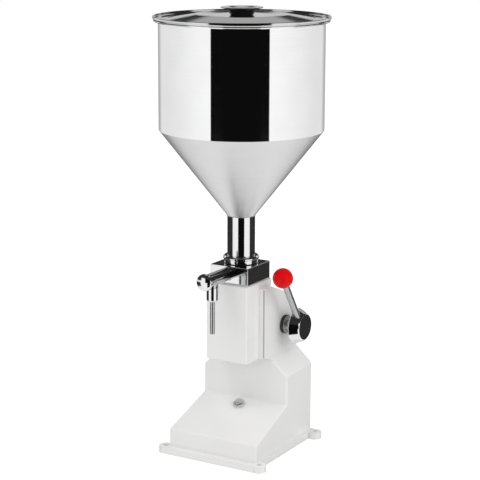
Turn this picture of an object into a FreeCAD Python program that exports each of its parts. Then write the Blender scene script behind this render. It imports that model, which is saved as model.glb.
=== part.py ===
import FreeCAD, Part
import math
import os
import Sketcher

# Hand piston filler. Millimetres, +Z up. The origin is the middle of the four base holes, on the table plane.
# Front is -Y. The lever is on the +X side.

doc = FreeCAD.newDocument("HandFiller")
sheet = doc.addObject("Spreadsheet::Sheet", "Sizes")

SIZES = {
    # base plate
    "base_thick": 12.0,
    "hole_gap_x": 189.0,
    "hole_gap_y": 199.5,
    "lug_radius": 12.0,
    "lug_hole_radius": 4.5,
    "plate_inset_front": 3.5,
    "plate_inset_back": 7.0,
    # stand casting, seen from the front and from above
    "foot_inset_front": 3.0,
    "foot_inset_back": 4.7,
    "toe_inset": 13.15,
    "heel_inset": 4.55,
    "column_half": 50.8,
    "shoulder_drop": 34.0,
    "shoulder_lift": 4.5,
    "shoulder_round": 14.0,
    "column_edge_round": 5.0,
    "foot_corner_round": 4.0,
    # stand casting, seen from the side
    "toe_height": 43.2,
    "toe_round": 4.0,
    "ramp_rise": 40.0,
    "throat_y": 12.5,
    "chin_reach": 8.0,
    "chin_height": 169.5,
    "chin_drop": 8.0,
    "column_rise": 128.5,
    "roof_length": 21.4,
    "roof_drop": 38.0,
    "back_round": 60.0,
    "wall": 4.0,
    "edge_round": 3.5,
    # head plate that carries the block
    "pad_rise": 9.0,
    "tongue_thick": 10.0,
    "fit_gap": 0.3,
    # front cover
    "cover_half": 40.8,
    "cover_depth": 43.2,
    "cover_lip": 2.9,
    "cover_wall": 2.5,
    "cover_corner_round": 2.0,
    "cover_flange_drop": 2.5,
    "cover_flange_lift": 1.9,
    "cover_tab_half": 22.0,
    "cover_tab_reach": 14.0,
    "cover_screw_x": 14.0,
    "cover_screw_reach": 7.0,
    # rear cover
    "rear_half": 38.0,
    "rear_low": 60.0,
    "rear_length": 145.0,
    "rear_thick": 2.5,
    "rear_lap": 9.0,
    # screws
    "small_screw_radius": 2.0,
    "small_head_radius": 3.8,
    "small_head_thick": 2.4,
    "small_screw_length": 8.0,
    "block_screw_radius": 3.0,
    "block_head_radius": 5.0,
    "block_head_thick": 6.0,
    "block_screw_grip": 12.0,
    "block_screw_inset": 6.5,
    "base_screw_radius": 3.0,
    "base_head_radius": 5.5,
    "base_head_thick": 5.5,
    "base_boss_radius": 8.0,
    "base_boss_height": 16.0,
    "base_screw_grip": 10.0,
    # valve block
    "head_y": -2.5,
    "block_width": 75.0,
    "block_depth": 75.0,
    "block_shift": 2.9,
    "block_height": 31.0,
    "block_edge": 0.8,
    # pump cylinder
    "bore_radius": 19.0,
    "barrel_wall": 5.0,
    "barrel_length": 56.5,
    "barrel_rim_width": 5.0,
    "barrel_rim_thick": 5.0,
    "barrel_seal_section": 1.2,
    "running_gap": 0.1,
    # piston
    "piston_length": 12.0,
    "piston_top_gap": 2.0,
    "ring_section": 1.5,
    "ring_first": 3.5,
    "ring_pitch": 5.0,
    "rod_radius": 7.0,
    "fork_width": 22.0,
    "fork_depth": 16.0,
    "fork_roof": 13.0,
    "fork_roof_thick": 2.4,
    "fork_below": 10.0,
    "pin_radius": 4.0,
    "clip_width": 2.0,
    "clip_thick": 1.0,
    # drive shaft and arm
    "shaft_reach": 65.0,
    "shaft_drop": 88.5,
    "shaft_radius": 8.0,
    "arm_angle": 17.1,
    "arm_thick": 8.0,
    "arm_boss_radius": 15.0,
    "arm_boss_half": 11.0,
    "arm_tip_wall": 3.6,
    "arm_slot_play": 0.4,
    "arm_side_play": 0.4,
    "key_half": 2.5,
    "key_length": 18.0,
    "bush_wall": 3.0,
    "shaft_gap": 0.05,
    "flange_width": 8.5,
    "flange_thick": 6.0,
    "flange_screw_width": 4.3,
    "flange_screw_radius": 1.7,
    "flange_screw_length": 10.0,
    "ring_clip_thick": 1.2,
    "ring_clip_width": 3.0,
    "shaft_left_over": 5.0,
    # lever
    "hub_gap": 18.4,
    "hub_length": 17.7,
    "hub_inner_radius": 31.6,
    "hub_outer_radius": 24.1,
    "hub_bore_depth": 13.0,
    "hub_edge": 0.8,
    "set_screw_radius": 3.0,
    "set_screw_length": 12.0,
    "lever_angle": 33.2,
    "lever_length": 121.0,
    "lever_rod_radius": 6.0,
    "lever_rod_lead": 5.0,
    "ball_radius": 17.7,
    "ball_socket": 13.0,
    # stop screw on the ramp
    "stop_reach": 19.5,
    "stop_radius": 5.0,
    "stop_length": 26.0,
    "stop_head_radius": 7.6,
    "stop_head_thick": 3.6,
    "stop_nut_flats": 19.0,
    "stop_nut_thick": 5.5,
    "stop_boss_width": 5.0,
    "stop_boss_depth": 10.0,
    # hopper collar and seal
    "collar_radius": 31.4,
    "collar_band_step": 1.4,
    "collar_height": 18.0,
    "collar_band_height": 11.8,
    "collar_chamfer": 2.5,
    "collar_ledge": 4.0,
    "spigot_radius": 15.0,
    "spigot_length": 6.0,
    "seal_width": 6.7,
    "seal_thick": 1.0,
    # hopper
    "neck_radius": 24.0,
    "neck_wall": 1.5,
    "neck_seat": 6.0,
    "neck_length": 71.1,
    "cone_height": 149.6,
    "hopper_radius": 141.2,
    "hopper_height": 179.3,
    "hopper_wall": 1.2,
    "rim_width": 7.8,
    "rim_height": 6.5,
    "rim_round": 2.6,
    # lid
    "lid_overhang": 1.3,
    "lid_edge_rise": 5.8,
    "lid_edge_wide": 2.4,
    "lid_flat_width": 11.5,
    "lid_groove_rise": 1.4,
    "lid_crown_width": 27.0,
    "lid_crown_rise": 9.2,
    "lid_dish_radius": 52.0,
    "lid_dish_rise": 7.4,
    "lid_sheet": 1.1,
    "lid_skirt_gap": 3.5,
    "lid_skirt_depth": 9.0,
    "knob_top_radius": 25.0,
    "knob_waist_step": 6.0,
    "knob_height": 11.4,
    "knob_lip": 2.2,
    "cap_overhang": 11.0,
    "cap_thick": 2.0,
    "cap_rise": 1.4,
    "knob_screw_radius": 2.5,
    "knob_screw_length": 8.5,
    # inlet check valve in the block
    "inlet_pocket_radius": 13.0,
    "inlet_pocket_height": 20.5,
    "inlet_hole_radius": 7.0,
    "inlet_ball_radius": 9.0,
    "inlet_cage_thick": 1.8,
    "inlet_cage_hole": 3.4,
    "inlet_cage_rim": 1.4,
    "outlet_port_radius": 6.0,
    "outlet_port_rise": 12.5,
    # outlet
    "outlet_rise": 19.5,
    "outlet_radius": 11.5,
    "outlet_bore": 8.0,
    "outlet_length": 76.1,
    "root_radius": 11.4,
    "root_length": 5.0,
    "outlet_spigot_radius": 10.0,
    "outlet_spigot_length": 8.0,
    "outlet_seal_section": 1.0,
    "poppet_side_gap": 1.4,
    "poppet_thick": 4.0,
    "poppet_seat_lap": 1.6,
    "poppet_seat_reach": 9.1,
    "poppet_stem_radius": 2.0,
    "poppet_stem_length": 22.0,
    "spring_step": 2.6,
    "spring_wire": 0.5,
    "spring_turns": 9.0,
    "end_cap_lip": 3.2,
    "end_cap_thick": 3.4,
    "end_cap_rise": 6.4,
    "end_cap_thread": 6.0,
    # nozzle
    "nozzle_inset": 22.7,
    "holder_radius": 10.2,
    "holder_drop": 14.6,
    "holder_length": 23.6,
    "holder_chamfer": 3.0,
    "holder_thread_radius": 7.0,
    "holder_thread_length": 6.0,
    "nozzle_radius": 4.3,
    "nozzle_wall": 1.0,
    "nozzle_length": 56.9,
    "nozzle_seat": 10.0,
    # one overrun for every cut
    "overrun": 5.0,
}

for row, (word, number) in enumerate(SIZES.items(), start=1):
    sheet.set("A%d" % row, word)
    sheet.set("B%d" % row, str(number))
    sheet.setAlias("B%d" % row, word)
doc.recompute()


class Size:
    """A size that knows its number and the spreadsheet formula that gives it."""

    def __init__(self, number, formula):
        self.number = number
        self.formula = formula

    def _pair(self, other):
        if isinstance(other, Size):
            return other
        return Size(float(other), repr(float(other)))

    def __add__(self, other):
        other = self._pair(other)
        return Size(self.number + other.number, "(%s + %s)" % (self.formula, other.formula))

    def __sub__(self, other):
        other = self._pair(other)
        return Size(self.number - other.number, "(%s - %s)" % (self.formula, other.formula))

    def __mul__(self, other):
        other = self._pair(other)
        return Size(self.number * other.number, "(%s * %s)" % (self.formula, other.formula))

    def __truediv__(self, other):
        other = self._pair(other)
        return Size(self.number / other.number, "(%s / %s)" % (self.formula, other.formula))

    def __neg__(self):
        return Size(-self.number, "(0 - %s)" % self.formula)


class Sheet:
    """Gives each named size of the spreadsheet as a Size."""

    def __getattr__(self, word):
        return Size(SIZES[word], "Sizes.%s" % word)


d = Sheet()
ZERO = Size(0.0, "0")

# Places that follow from the sizes above, from the base upwards
plate_half_y = d.hole_gap_y / 2 + d.lug_radius
plate_half_front = d.hole_gap_x / 2 - d.plate_inset_front
plate_half_back = d.hole_gap_x / 2 - d.plate_inset_back
foot_half_front = plate_half_front - d.foot_inset_front
foot_half_back = plate_half_back - d.foot_inset_back
toe_reach = plate_half_y - d.toe_inset
back_y = plate_half_y - d.heel_inset
ramp_top = d.toe_height + d.ramp_rise
chin_root = d.chin_height - d.chin_drop
shoulder_high = chin_root + d.shoulder_lift
shoulder_low = shoulder_high - d.shoulder_drop
roof_end_y = d.roof_length - d.chin_reach
column_top = shoulder_high + d.column_rise
back_corner_height = column_top - d.roof_drop
pad_top = column_top + d.pad_rise
cover_back = -d.chin_reach - d.fit_gap
cover_front = cover_back - d.cover_depth
cover_bottom = d.chin_height - d.cover_lip
rear_high = d.rear_low + d.rear_length
block_y = d.head_y - d.block_shift
block_front = block_y - d.block_depth / 2
block_back = block_y + d.block_depth / 2
block_top = pad_top + d.block_height
barrel_radius = d.bore_radius + d.barrel_wall
barrel_rim_radius = barrel_radius + d.barrel_rim_width
shaft_y = d.head_y + d.shaft_reach
shaft_z = pad_top - d.shaft_drop
bush_radius = d.shaft_radius + d.bush_wall
flange_radius = d.shaft_radius + d.flange_width
hub_inner_x = d.column_half + d.flange_thick + d.hub_gap
hub_mid_x = hub_inner_x + d.hub_length / 2
lever_rod_start = d.shaft_radius + d.lever_rod_lead
stop_y = d.throat_y - d.stop_reach
neck_low = block_top + d.collar_height - d.neck_seat
cone_low = neck_low + d.neck_length
cone_high = cone_low + d.cone_height
rim_low = cone_high + d.hopper_height
rim_high = rim_low + d.rim_height
rim_radius = d.hopper_radius + d.rim_width
lid_radius = rim_radius + d.lid_overhang
lid_skirt_radius = d.hopper_radius - d.hopper_wall - d.lid_skirt_gap
lid_groove_radius = lid_skirt_radius - d.lid_flat_width
lid_crown_radius = d.lid_dish_radius + d.lid_crown_width
lid_edge_top = rim_high + d.lid_edge_rise
lid_groove_z = rim_high + d.lid_groove_rise
lid_crown_z = rim_high + d.lid_crown_rise
lid_dish_z = rim_high + d.lid_dish_rise
outlet_z = pad_top + d.outlet_rise
outlet_port_z = pad_top + d.outlet_port_rise
outlet_end_y = block_front - d.outlet_length
poppet_seat_y = block_front - d.poppet_seat_reach
nozzle_y = outlet_end_y + d.nozzle_inset
holder_high = outlet_z - d.holder_drop
holder_low = holder_high - d.holder_length
nozzle_low = holder_low - d.nozzle_length
nozzle_bore = d.nozzle_radius - d.nozzle_wall

TURN_X = FreeCAD.Rotation(FreeCAD.Vector(0, 1, 0), 90)
TURN_Y = FreeCAD.Rotation(FreeCAD.Vector(1, 0, 0), 90)
STOP_NUT_TURN = 12
parts = {}


def bind(thing, prop, size):
    """Binds one property to its spreadsheet formula."""
    thing.setExpression(prop, size.formula)


def place(thing, at, turn=None):
    """Puts a thing at a point given as three sizes, turned if a rotation is given."""
    base = FreeCAD.Vector(at[0].number, at[1].number, at[2].number)
    thing.Placement = FreeCAD.Placement(base, turn or FreeCAD.Rotation())
    for letter, size in zip("xyz", at):
        bind(thing, "Placement.Base." + letter, size)


def cylinder(name, radius, height, at, turn=None):
    thing = doc.addObject("Part::Cylinder", name)
    bind(thing, "Radius", radius)
    bind(thing, "Height", height)
    place(thing, at, turn)
    return thing


def box(name, low, high):
    thing = doc.addObject("Part::Box", name)
    for prop, a, b in zip(("Length", "Width", "Height"), low, high):
        bind(thing, prop, b - a)
    place(thing, low)
    return thing


def torus(name, ring, section, at, turn=None):
    thing = doc.addObject("Part::Torus", name)
    bind(thing, "Radius1", ring)
    bind(thing, "Radius2", section)
    place(thing, at, turn)
    return thing


def sphere(name, radius, at):
    thing = doc.addObject("Part::Sphere", name)
    bind(thing, "Radius", radius)
    place(thing, at)
    return thing


def fuse(name, things):
    thing = doc.addObject("Part::MultiFuse", name)
    thing.Shapes = things
    thing.Refine = True
    return thing


def common(name, things):
    thing = doc.addObject("Part::MultiCommon", name)
    thing.Shapes = things
    return thing


def cut(name, base, tools):
    """Cuts tools out of a base."""
    thing = doc.addObject("Part::Cut", name)
    thing.Base = base
    thing.Tool = tools[0] if len(tools) == 1 else fuse(name + "_tools", tools)
    thing.Refine = True
    return thing


def group(name, things):
    """Keeps separate solids together in one sub-part."""
    thing = doc.addObject("Part::Compound", name)
    thing.Links = things
    return thing


def origin_plane(body, role):
    return [item for item in body.Origin.OriginFeatures if item.Role == role][0]


def outline(body, name, plane, points):
    """Draws a closed outline of straight lines whose corners are bound to sizes."""
    sketch = body.newObject("Sketcher::SketchObject", name)
    sketch.AttachmentSupport = [(origin_plane(body, plane), "")]
    sketch.MapMode = "FlatFace"
    count = len(points)
    spots = [FreeCAD.Vector(p[0].number, p[1].number, 0) for p in points]
    for i in range(count):
        sketch.addGeometry(Part.LineSegment(spots[i], spots[(i + 1) % count]), False)
    for i in range(count):
        sketch.addConstraint(Sketcher.Constraint("Coincident", i, 2, (i + 1) % count, 1))
    for i, (across, upward) in enumerate(points):
        for kind, size in (("DistanceX", across), ("DistanceY", upward)):
            index = sketch.addConstraint(Sketcher.Constraint(kind, -1, 1, i, 1, size.number))
            sketch.setExpression("Constraints[%d]" % index, size.formula)
    return sketch


def turned(name, points, at=(ZERO, ZERO, ZERO), turn=None):
    """Turns an outline of (radius, height) corners about its own upright axis.

    With no place given the caller sets it afterwards.
    """
    body = doc.addObject("PartDesign::Body", name)
    sketch = outline(body, name + "_outline", "XZ_Plane", points)
    lathe = body.newObject("PartDesign::Revolution", name + "_turning")
    lathe.Profile = sketch
    lathe.ReferenceAxis = (sketch, ["V_Axis"])
    lathe.Angle = 360
    sketch.Visibility = False
    body.Tip = lathe
    if at:
        place(body, at, turn)
    return body


def prism(name, plane, points, length, at=(ZERO, ZERO, ZERO), turn=None):
    """Pads an outline equally to both sides of its plane."""
    body = doc.addObject("PartDesign::Body", name)
    sketch = outline(body, name + "_outline", plane, points)
    pad = body.newObject("PartDesign::Pad", name + "_pad")
    pad.Profile = sketch
    bind(pad, "Length", length)
    pad.Midplane = True
    body.Tip = pad
    place(body, at, turn)
    return body


def round_body(body, radius, wanted):
    """Rounds the edges of a body that the test picks."""
    doc.recompute()
    last = body.Tip
    names = ["Edge%d" % (i + 1) for i, edge in enumerate(last.Shape.Edges) if wanted(edge)]
    rounding = body.newObject("PartDesign::Fillet", body.Name + "_round%d" % len(body.Group))
    rounding.Base = (last, names)
    bind(rounding, "Radius", radius)
    body.Tip = rounding
    return body


def round_part(name, base, radius, wanted):
    """Rounds the edges of a Part object that the test picks."""
    doc.recompute()
    thing = doc.addObject("Part::Fillet", name)
    thing.Base = base
    r = radius.number
    thing.Edges = [(i + 1, r, r) for i, edge in enumerate(base.Shape.Edges) if wanted(edge)]
    return thing


def keep(name, thing):
    """Names a finished sub-part."""
    thing.Label = name
    parts[name] = thing
    return thing


def near(a, b):
    return abs(a - b) < 0.01


def straight(edge, axis):
    """Says if an edge is a straight line along one axis."""
    if not isinstance(edge.Curve, Part.Line):
        return False
    return near(abs(edge.Curve.Direction[axis]), 1.0)


def middle(edge):
    return edge.CenterOfMass


def corner_spots(half_x, front_y, back_y):
    """Gives the four corners of a rectangle about the middle plane."""
    return [(side, y) for side in (-half_x, half_x) for y in (front_y, back_y)]


def hex_nut(name, flats, thick, bore, at, turn):
    """Makes a hexagon nut with a plain bore on the given axis."""
    prism_part = doc.addObject("Part::Prism", name + "_hex")
    prism_part.Polygon = 6
    bind(prism_part, "Circumradius", flats / math.sqrt(3))
    bind(prism_part, "Height", thick)
    place(prism_part, at, turn)
    chamfer_ball = doc.addObject("Part::Cylinder", name + "_round")
    bind(chamfer_ball, "Radius", flats / math.sqrt(3) * NUT_CORNER_SHARE)
    bind(chamfer_ball, "Height", thick)
    place(chamfer_ball, at, turn)
    hole = cylinder(name + "_bore", bore, thick, at, turn)
    return cut(name, common(name + "_blank", [prism_part, chamfer_ball]), [hole])


NUT_CORNER_SHARE = 0.985


# Base plate

def make_base_plate():
    plate = prism("base_blank", "XY_Plane", [
        (-plate_half_front, -plate_half_y), (plate_half_front, -plate_half_y),
        (plate_half_back, plate_half_y), (-plate_half_back, plate_half_y),
    ], d.base_thick, (ZERO, ZERO, d.base_thick / 2))
    lugs = []
    holes = []
    for i, (x, y) in enumerate(corner_spots(d.hole_gap_x / 2, -(d.hole_gap_y / 2), d.hole_gap_y / 2)):
        lugs.append(cylinder("lug%d" % i, d.lug_radius, d.base_thick, (x, y, ZERO)))
        holes.append(cylinder("lug_hole%d" % i, d.lug_hole_radius, d.base_thick + d.overrun * 2,
                              (x, y, -d.overrun)))
    for i, (x, y) in enumerate(base_screw_spots()):
        holes.append(cylinder("base_screw_hole%d" % i, d.base_screw_radius + d.fit_gap,
                              d.base_thick + d.overrun * 2, (x, y, -d.overrun)))
        holes.append(cylinder("base_head_hole%d" % i, d.base_head_radius + d.fit_gap,
                              d.base_head_thick + d.fit_gap + d.overrun, (x, y, -d.overrun)))
    blank = fuse("base_with_lugs", [plate] + lugs)
    keep("base_plate", cut("base_plate", blank, holes))


def base_screw_spots():
    """Four screws that hold the stand, inside the foot's corners."""
    inset = d.wall + d.base_boss_radius * BOSS_INSET_SHARE
    x_spot = foot_half_back - inset
    return corner_spots(x_spot, -(toe_reach - inset), back_y - inset)


BOSS_INSET_SHARE = 0.75


# Stand casting

def side_points(skin, roof_drop):
    """Side outline of the stand, drawn smaller all round by a skin."""
    low = d.base_thick if skin is ZERO else d.base_thick - d.overrun
    chin_back = chin_root if skin is ZERO else d.chin_height + skin
    return [
        (-(toe_reach - skin), low),
        (-(toe_reach - skin), d.toe_height - skin),
        (d.throat_y + skin, ramp_top - skin + ramp_lift(skin)),
        (d.throat_y + skin, chin_back),
        (-(d.chin_reach - skin), d.chin_height + skin),
        (-(d.chin_reach - skin), column_top - roof_drop),
        (roof_end_y, column_top - roof_drop),
        (back_y - skin, back_corner_height - roof_drop),
        (back_y - skin, low),
    ]


def ramp_lift(skin):
    """Keeps the underside of the ramp parallel to its top."""
    return skin * 2 * (ramp_top - d.toe_height) / (d.throat_y + toe_reach)


def front_points(skin, roof_drop):
    """Front outline of the stand: wide foot, shoulders, narrow column."""
    low = d.base_thick if skin is ZERO else d.base_thick - d.overrun
    foot = foot_half_front - skin
    column = d.column_half - skin
    half = [
        (foot, low),
        (foot, shoulder_low - skin * SHOULDER_SKIN_SHARE),
        (column, shoulder_high - skin * SHOULDER_SKIN_SHARE),
        (column, column_top - roof_drop),
    ]
    return half + [(-x, z) for x, z in reversed(half)]


SHOULDER_SKIN_SHARE = 0.5


def plan_points(skin):
    front = -(toe_reach - skin)
    back = back_y - skin
    return [
        (-(foot_half_front - skin), front), (foot_half_front - skin, front),
        (foot_half_back - skin, back), (-(foot_half_back - skin), back),
    ]


def stand_form(name, skin, roof_drop):
    """The stand's form as what its side, front and plan outlines have in common."""
    span = toe_reach * 3
    side = prism(name + "_side", "YZ_Plane", side_points(skin, roof_drop), span)
    front = prism(name + "_front", "XZ_Plane", front_points(skin, roof_drop), span)
    plan = prism(name + "_plan", "XY_Plane", plan_points(skin), column_top * 3)
    round_side(side, skin)
    round_front(front, skin)
    if skin is ZERO:
        round_body(plan, d.foot_corner_round, lambda e: straight(e, 2))
    return common(name, [side, front, plan])


def round_side(side, skin):
    """Rounds the long back corner, and outside also the toe and the ramp's foot."""
    back = (back_y - skin).number
    roof = back_corner_height.number
    round_body(side, d.back_round - skin, lambda e: straight(e, 0) and near(middle(e).y, back)
               and abs(middle(e).z - roof) < d.wall.number * 2)
    if skin is ZERO:
        round_body(side, d.toe_round, lambda e: straight(e, 0) and near(middle(e).z, d.toe_height.number))
        round_body(side, d.toe_round, lambda e: straight(e, 0) and near(middle(e).z, ramp_top.number))


def round_front(front, skin):
    """Rounds the shoulders and, outside, the column's upper edges."""
    foot = (foot_half_front - skin).number
    low = (shoulder_low - skin * SHOULDER_SKIN_SHARE).number
    round_body(front, d.shoulder_round, lambda e: straight(e, 1) and near(abs(middle(e).x), foot)
               and near(middle(e).z, low))
    if skin is ZERO:
        round_body(front, d.column_edge_round, lambda e: straight(e, 1)
                   and near(middle(e).z, column_top.number))


def make_stand_casting():
    outer = stand_form("stand_outer", ZERO, ZERO)
    cavity = stand_form("stand_cavity", d.wall, d.wall)
    outer = round_part("stand_outer_round", outer, d.edge_round, stand_side_edge)
    tongue_half = d.cover_half - d.cover_wall - d.fit_gap
    tongue_front = cover_front + d.cover_wall + d.fit_gap
    tongue = box("head_tongue", (-tongue_half, tongue_front, pad_top - d.tongue_thick),
                 (tongue_half, -d.chin_reach + d.wall, pad_top))
    pad = box("head_pad", (-d.cover_half, -d.chin_reach, column_top - d.wall * 2),
              (d.cover_half, block_back, pad_top))
    inside = d.column_half - d.wall
    pad_under = box("head_pad_under", (-inside, -d.chin_reach + d.wall, column_top - d.wall * 4),
                    (inside, block_back, column_top - d.wall))
    bosses = []
    bores = []
    bore_depth = d.base_screw_grip + d.fit_gap * 2 + d.overrun
    for i, (x, y) in enumerate(base_screw_spots()):
        bosses.append(cylinder("foot_boss%d" % i, d.base_boss_radius, d.base_boss_height,
                               (x, y, d.base_thick)))
        bores.append(cylinder("foot_boss_bore%d" % i, d.base_screw_radius, bore_depth,
                              (x, y, d.base_thick - d.overrun)))
    boss_trim = common("foot_bosses", [fuse("foot_boss_row", bosses), stand_form("stand_trim", ZERO, ZERO)])
    hollow = cut("stand_hollow", outer, [cavity])
    top = fuse("stand_top", [hollow, tongue, cut("head_pad_block", pad, [pad_under]), boss_trim, stop_boss()])
    barrel_at = (ZERO, d.head_y, column_top - d.tongue_thick * 3)
    window_half = barrel_rim_radius + d.wall
    tools = bores + [
        box("front_window", (-window_half, -d.chin_reach - d.overrun, d.chin_height + d.wall * 2),
            (window_half, -d.chin_reach + d.wall + d.fit_gap, pad_top - d.tongue_thick)),
        cylinder("barrel_hole", barrel_radius + d.fit_gap, d.tongue_thick * 5, barrel_at),
        cylinder("barrel_seat", barrel_rim_radius + d.fit_gap, d.tongue_thick * 2,
                 (ZERO, d.head_y, pad_top - d.barrel_rim_thick)),
        box("rear_window", (-d.rear_half + d.rear_lap, back_y - d.wall - d.overrun, d.rear_low + d.rear_lap),
            (d.rear_half - d.rear_lap, back_y + d.overrun, rear_high - d.rear_lap)),
        cylinder("bush_hole", bush_radius, d.column_half * 2 + d.overrun * 2,
                 (-d.column_half - d.overrun, shaft_y, shaft_z), TURN_X),
        ramp_cylinder("stop_hole", d.stop_radius + d.shaft_gap, -d.stop_length * 2, d.stop_length * 4),
    ]
    for i, (x, y) in enumerate(block_screw_spots()):
        tools.append(cylinder("block_screw_pass%d" % i, d.block_screw_radius + d.fit_gap, d.tongue_thick * 4,
                              (x, y, pad_top - d.tongue_thick * 2)))
        tools.append(cylinder("block_screw_room%d" % i, d.block_head_radius + d.fit_gap, d.tongue_thick * 2,
                              (x, y, block_screw_seat(y) - d.tongue_thick * 2)))
    recess_half = d.cover_tab_half + d.fit_gap
    recess_back = cover_back + d.cover_tab_reach + d.fit_gap
    tools.append(box("cover_tab_recess", (-recess_half, -d.chin_reach - d.overrun, chin_root),
                     (recess_half, recess_back, d.chin_height)))
    for side in (-1, 1):
        at = (d.cover_screw_x * side, cover_back + d.cover_screw_reach, d.chin_height - d.small_screw_length)
        tools.append(cylinder("cover_screw_hole%d" % (side + 1), d.small_screw_radius,
                              d.small_screw_length * 2, at))
    for i, (x, z) in enumerate(rear_screw_spots()):
        tools.append(cylinder("rear_screw_hole%d" % i, d.small_screw_radius, d.small_screw_length * 2,
                              (x, back_y + d.small_screw_length, z), TURN_Y))
    for i, (y, z) in enumerate(flange_screw_spots()):
        tools.append(cylinder("flange_screw_hole%d" % i, d.flange_screw_radius,
                              d.column_half * 2 + d.overrun * 2,
                              (-d.column_half - d.overrun, y, z), TURN_X))
    keep("stand_casting", cut("stand_casting", top, tools))


def stand_side_edge(edge):
    """Picks the edges where the side faces meet the toe, the ramp, the throat and the head's front."""
    mid = middle(edge)
    x = abs(mid.x)
    on_side = x > d.column_half.number - 1.0
    before_throat = mid.y < d.throat_y.number + 0.5 and mid.y > -toe_reach.number + 1.0
    above_toe = mid.z > d.toe_height.number + 1.0
    below_chin = mid.z < chin_root.number - 1.0
    if on_side and before_throat and above_toe and below_chin:
        return True
    head_front = near(mid.y, -d.chin_reach.number) and near(x, d.column_half.number)
    return head_front and straight(edge, 2)


def ramp_frame():
    """Gives the point of the stop screw on the ramp and the ramp's outward direction."""
    run = d.throat_y.number + toe_reach.number
    rise = ramp_top.number - d.toe_height.number
    tilt = math.degrees(math.atan2(rise, run))
    z = d.toe_height.number + rise * (stop_y.number + toe_reach.number) / run
    spot = FreeCAD.Vector(0, stop_y.number, z)
    turn = FreeCAD.Rotation(FreeCAD.Vector(1, 0, 0), tilt)
    return spot, turn


def ramp_cylinder(name, radius, start, length):
    """Makes a cylinder square to the ramp, from a start height above it."""
    spot, turn = ramp_frame()
    thing = doc.addObject("Part::Cylinder", name)
    bind(thing, "Radius", radius)
    bind(thing, "Height", length)
    up = turn.multVec(FreeCAD.Vector(0, 0, 1))
    thing.Placement = FreeCAD.Placement(spot + up * start.number, turn)
    return thing


def stop_boss():
    return ramp_cylinder("stop_boss", d.stop_radius + d.stop_boss_width, -d.stop_boss_depth,
                         d.stop_boss_depth - d.wall / 2)


def block_screw_spots():
    return corner_spots(d.block_width / 2 - d.block_screw_inset, block_front + d.block_screw_inset,
                        block_back - d.block_screw_inset)


def block_screw_seat(y):
    """Height of the face under a block screw's head: below the tongue in front, below the pad behind."""
    if y.number < -d.chin_reach.number:
        return pad_top - d.tongue_thick
    return column_top - d.wall


def rear_screw_spots():
    x = d.rear_half - d.rear_lap / 2
    spots = []
    for z in (d.rear_low + d.rear_lap / 2, rear_high - d.rear_lap / 2):
        spots += [(-x, z), (x, z)]
    return spots


def flange_screw_spots():
    """Three screws on a circle about the shaft."""
    spots = []
    for turn in FLANGE_SCREW_TURNS:
        a = math.radians(turn)
        circle = d.shaft_radius + d.flange_screw_width
        y = shaft_y + circle * math.cos(a)
        z = shaft_z + circle * math.sin(a)
        spots.append((y, z))
    return spots


FLANGE_SCREW_TURNS = (155, 35, 275)


def make_rear_cover():
    plate = box("rear_plate", (-d.rear_half, back_y, d.rear_low),
                (d.rear_half, back_y + d.rear_thick, rear_high))
    plate = round_part("rear_plate_round", plate, d.rear_lap / 2, lambda e: straight(e, 1))
    holes = [cylinder("rear_cover_hole%d" % i, d.small_screw_radius + d.fit_gap, d.rear_thick * 4,
                      (x, back_y + d.rear_thick * 2, z), TURN_Y)
             for i, (x, z) in enumerate(rear_screw_spots())]
    keep("rear_cover", cut("rear_cover", plate, holes))


def small_screw(name, at, turn):
    """Pan-head screw whose head rests at the given point and whose shank runs along the turned axis."""
    return turned(name, [
        (ZERO, -d.small_head_thick), (d.small_head_radius * HEAD_TOP_SHARE, -d.small_head_thick),
        (d.small_head_radius, -d.small_head_thick * HEAD_SIDE_SHARE), (d.small_head_radius, ZERO),
        (d.small_screw_radius, ZERO), (d.small_screw_radius, d.small_screw_length),
        (ZERO, d.small_screw_length),
    ], at, turn)


HEAD_TOP_SHARE = 0.6
HEAD_SIDE_SHARE = 0.55


def make_rear_screws():
    screws = [small_screw("rear_screw%d" % i, (x, back_y + d.rear_thick, z), TURN_Y)
              for i, (x, z) in enumerate(rear_screw_spots())]
    keep("rear_cover_screws", group("rear_cover_screws", screws))


# Front cover

def make_front_cover():
    top = pad_top - d.fit_gap
    outer = box("cover_outer", (-d.cover_half, cover_front, cover_bottom), (d.cover_half, cover_back, top))
    outer = round_part("cover_outer_round", outer, d.cover_corner_round, cover_round_edge)
    inner = box("cover_inner", (-d.cover_half + d.cover_wall, cover_front + d.cover_wall,
                                cover_bottom + d.cover_wall),
                (d.cover_half - d.cover_wall, cover_back + d.overrun, top + d.overrun))
    shell = cut("cover_shell", outer, [inner])
    flange_out = d.column_half - d.edge_round / 2
    flange_in = d.cover_half - d.cover_wall
    flanges = []
    for name, low_x, high_x in (("left", -flange_out, -flange_in), ("right", flange_in, flange_out)):
        flanges.append(box("cover_flange_" + name,
                           (low_x, cover_back - d.cover_wall, cover_bottom + d.cover_flange_lift),
                           (high_x, cover_back, column_top - d.cover_flange_drop)))
    tab_top = d.chin_height - d.fit_gap
    tab_low = tab_top - d.cover_wall
    tab = box("cover_tab", (-d.cover_tab_half, cover_back - d.cover_wall * 2, tab_low),
              (d.cover_tab_half, cover_back + d.cover_tab_reach, tab_top))
    blank = fuse("cover_blank", [shell, tab] + flanges)
    spots = [(d.cover_screw_x * side, cover_back + d.cover_screw_reach) for side in (-1, 1)]
    holes = [cylinder("cover_tab_hole%d" % i, d.small_screw_radius + d.fit_gap, d.cover_wall * 4,
                      (x, y, tab_top - d.cover_wall * 2)) for i, (x, y) in enumerate(spots)]
    keep("front_cover", cut("front_cover", blank, holes))
    screws = [small_screw("cover_screw%d" % i, (x, y, tab_low), None) for i, (x, y) in enumerate(spots)]
    keep("front_cover_screws", group("front_cover_screws", screws))


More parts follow.
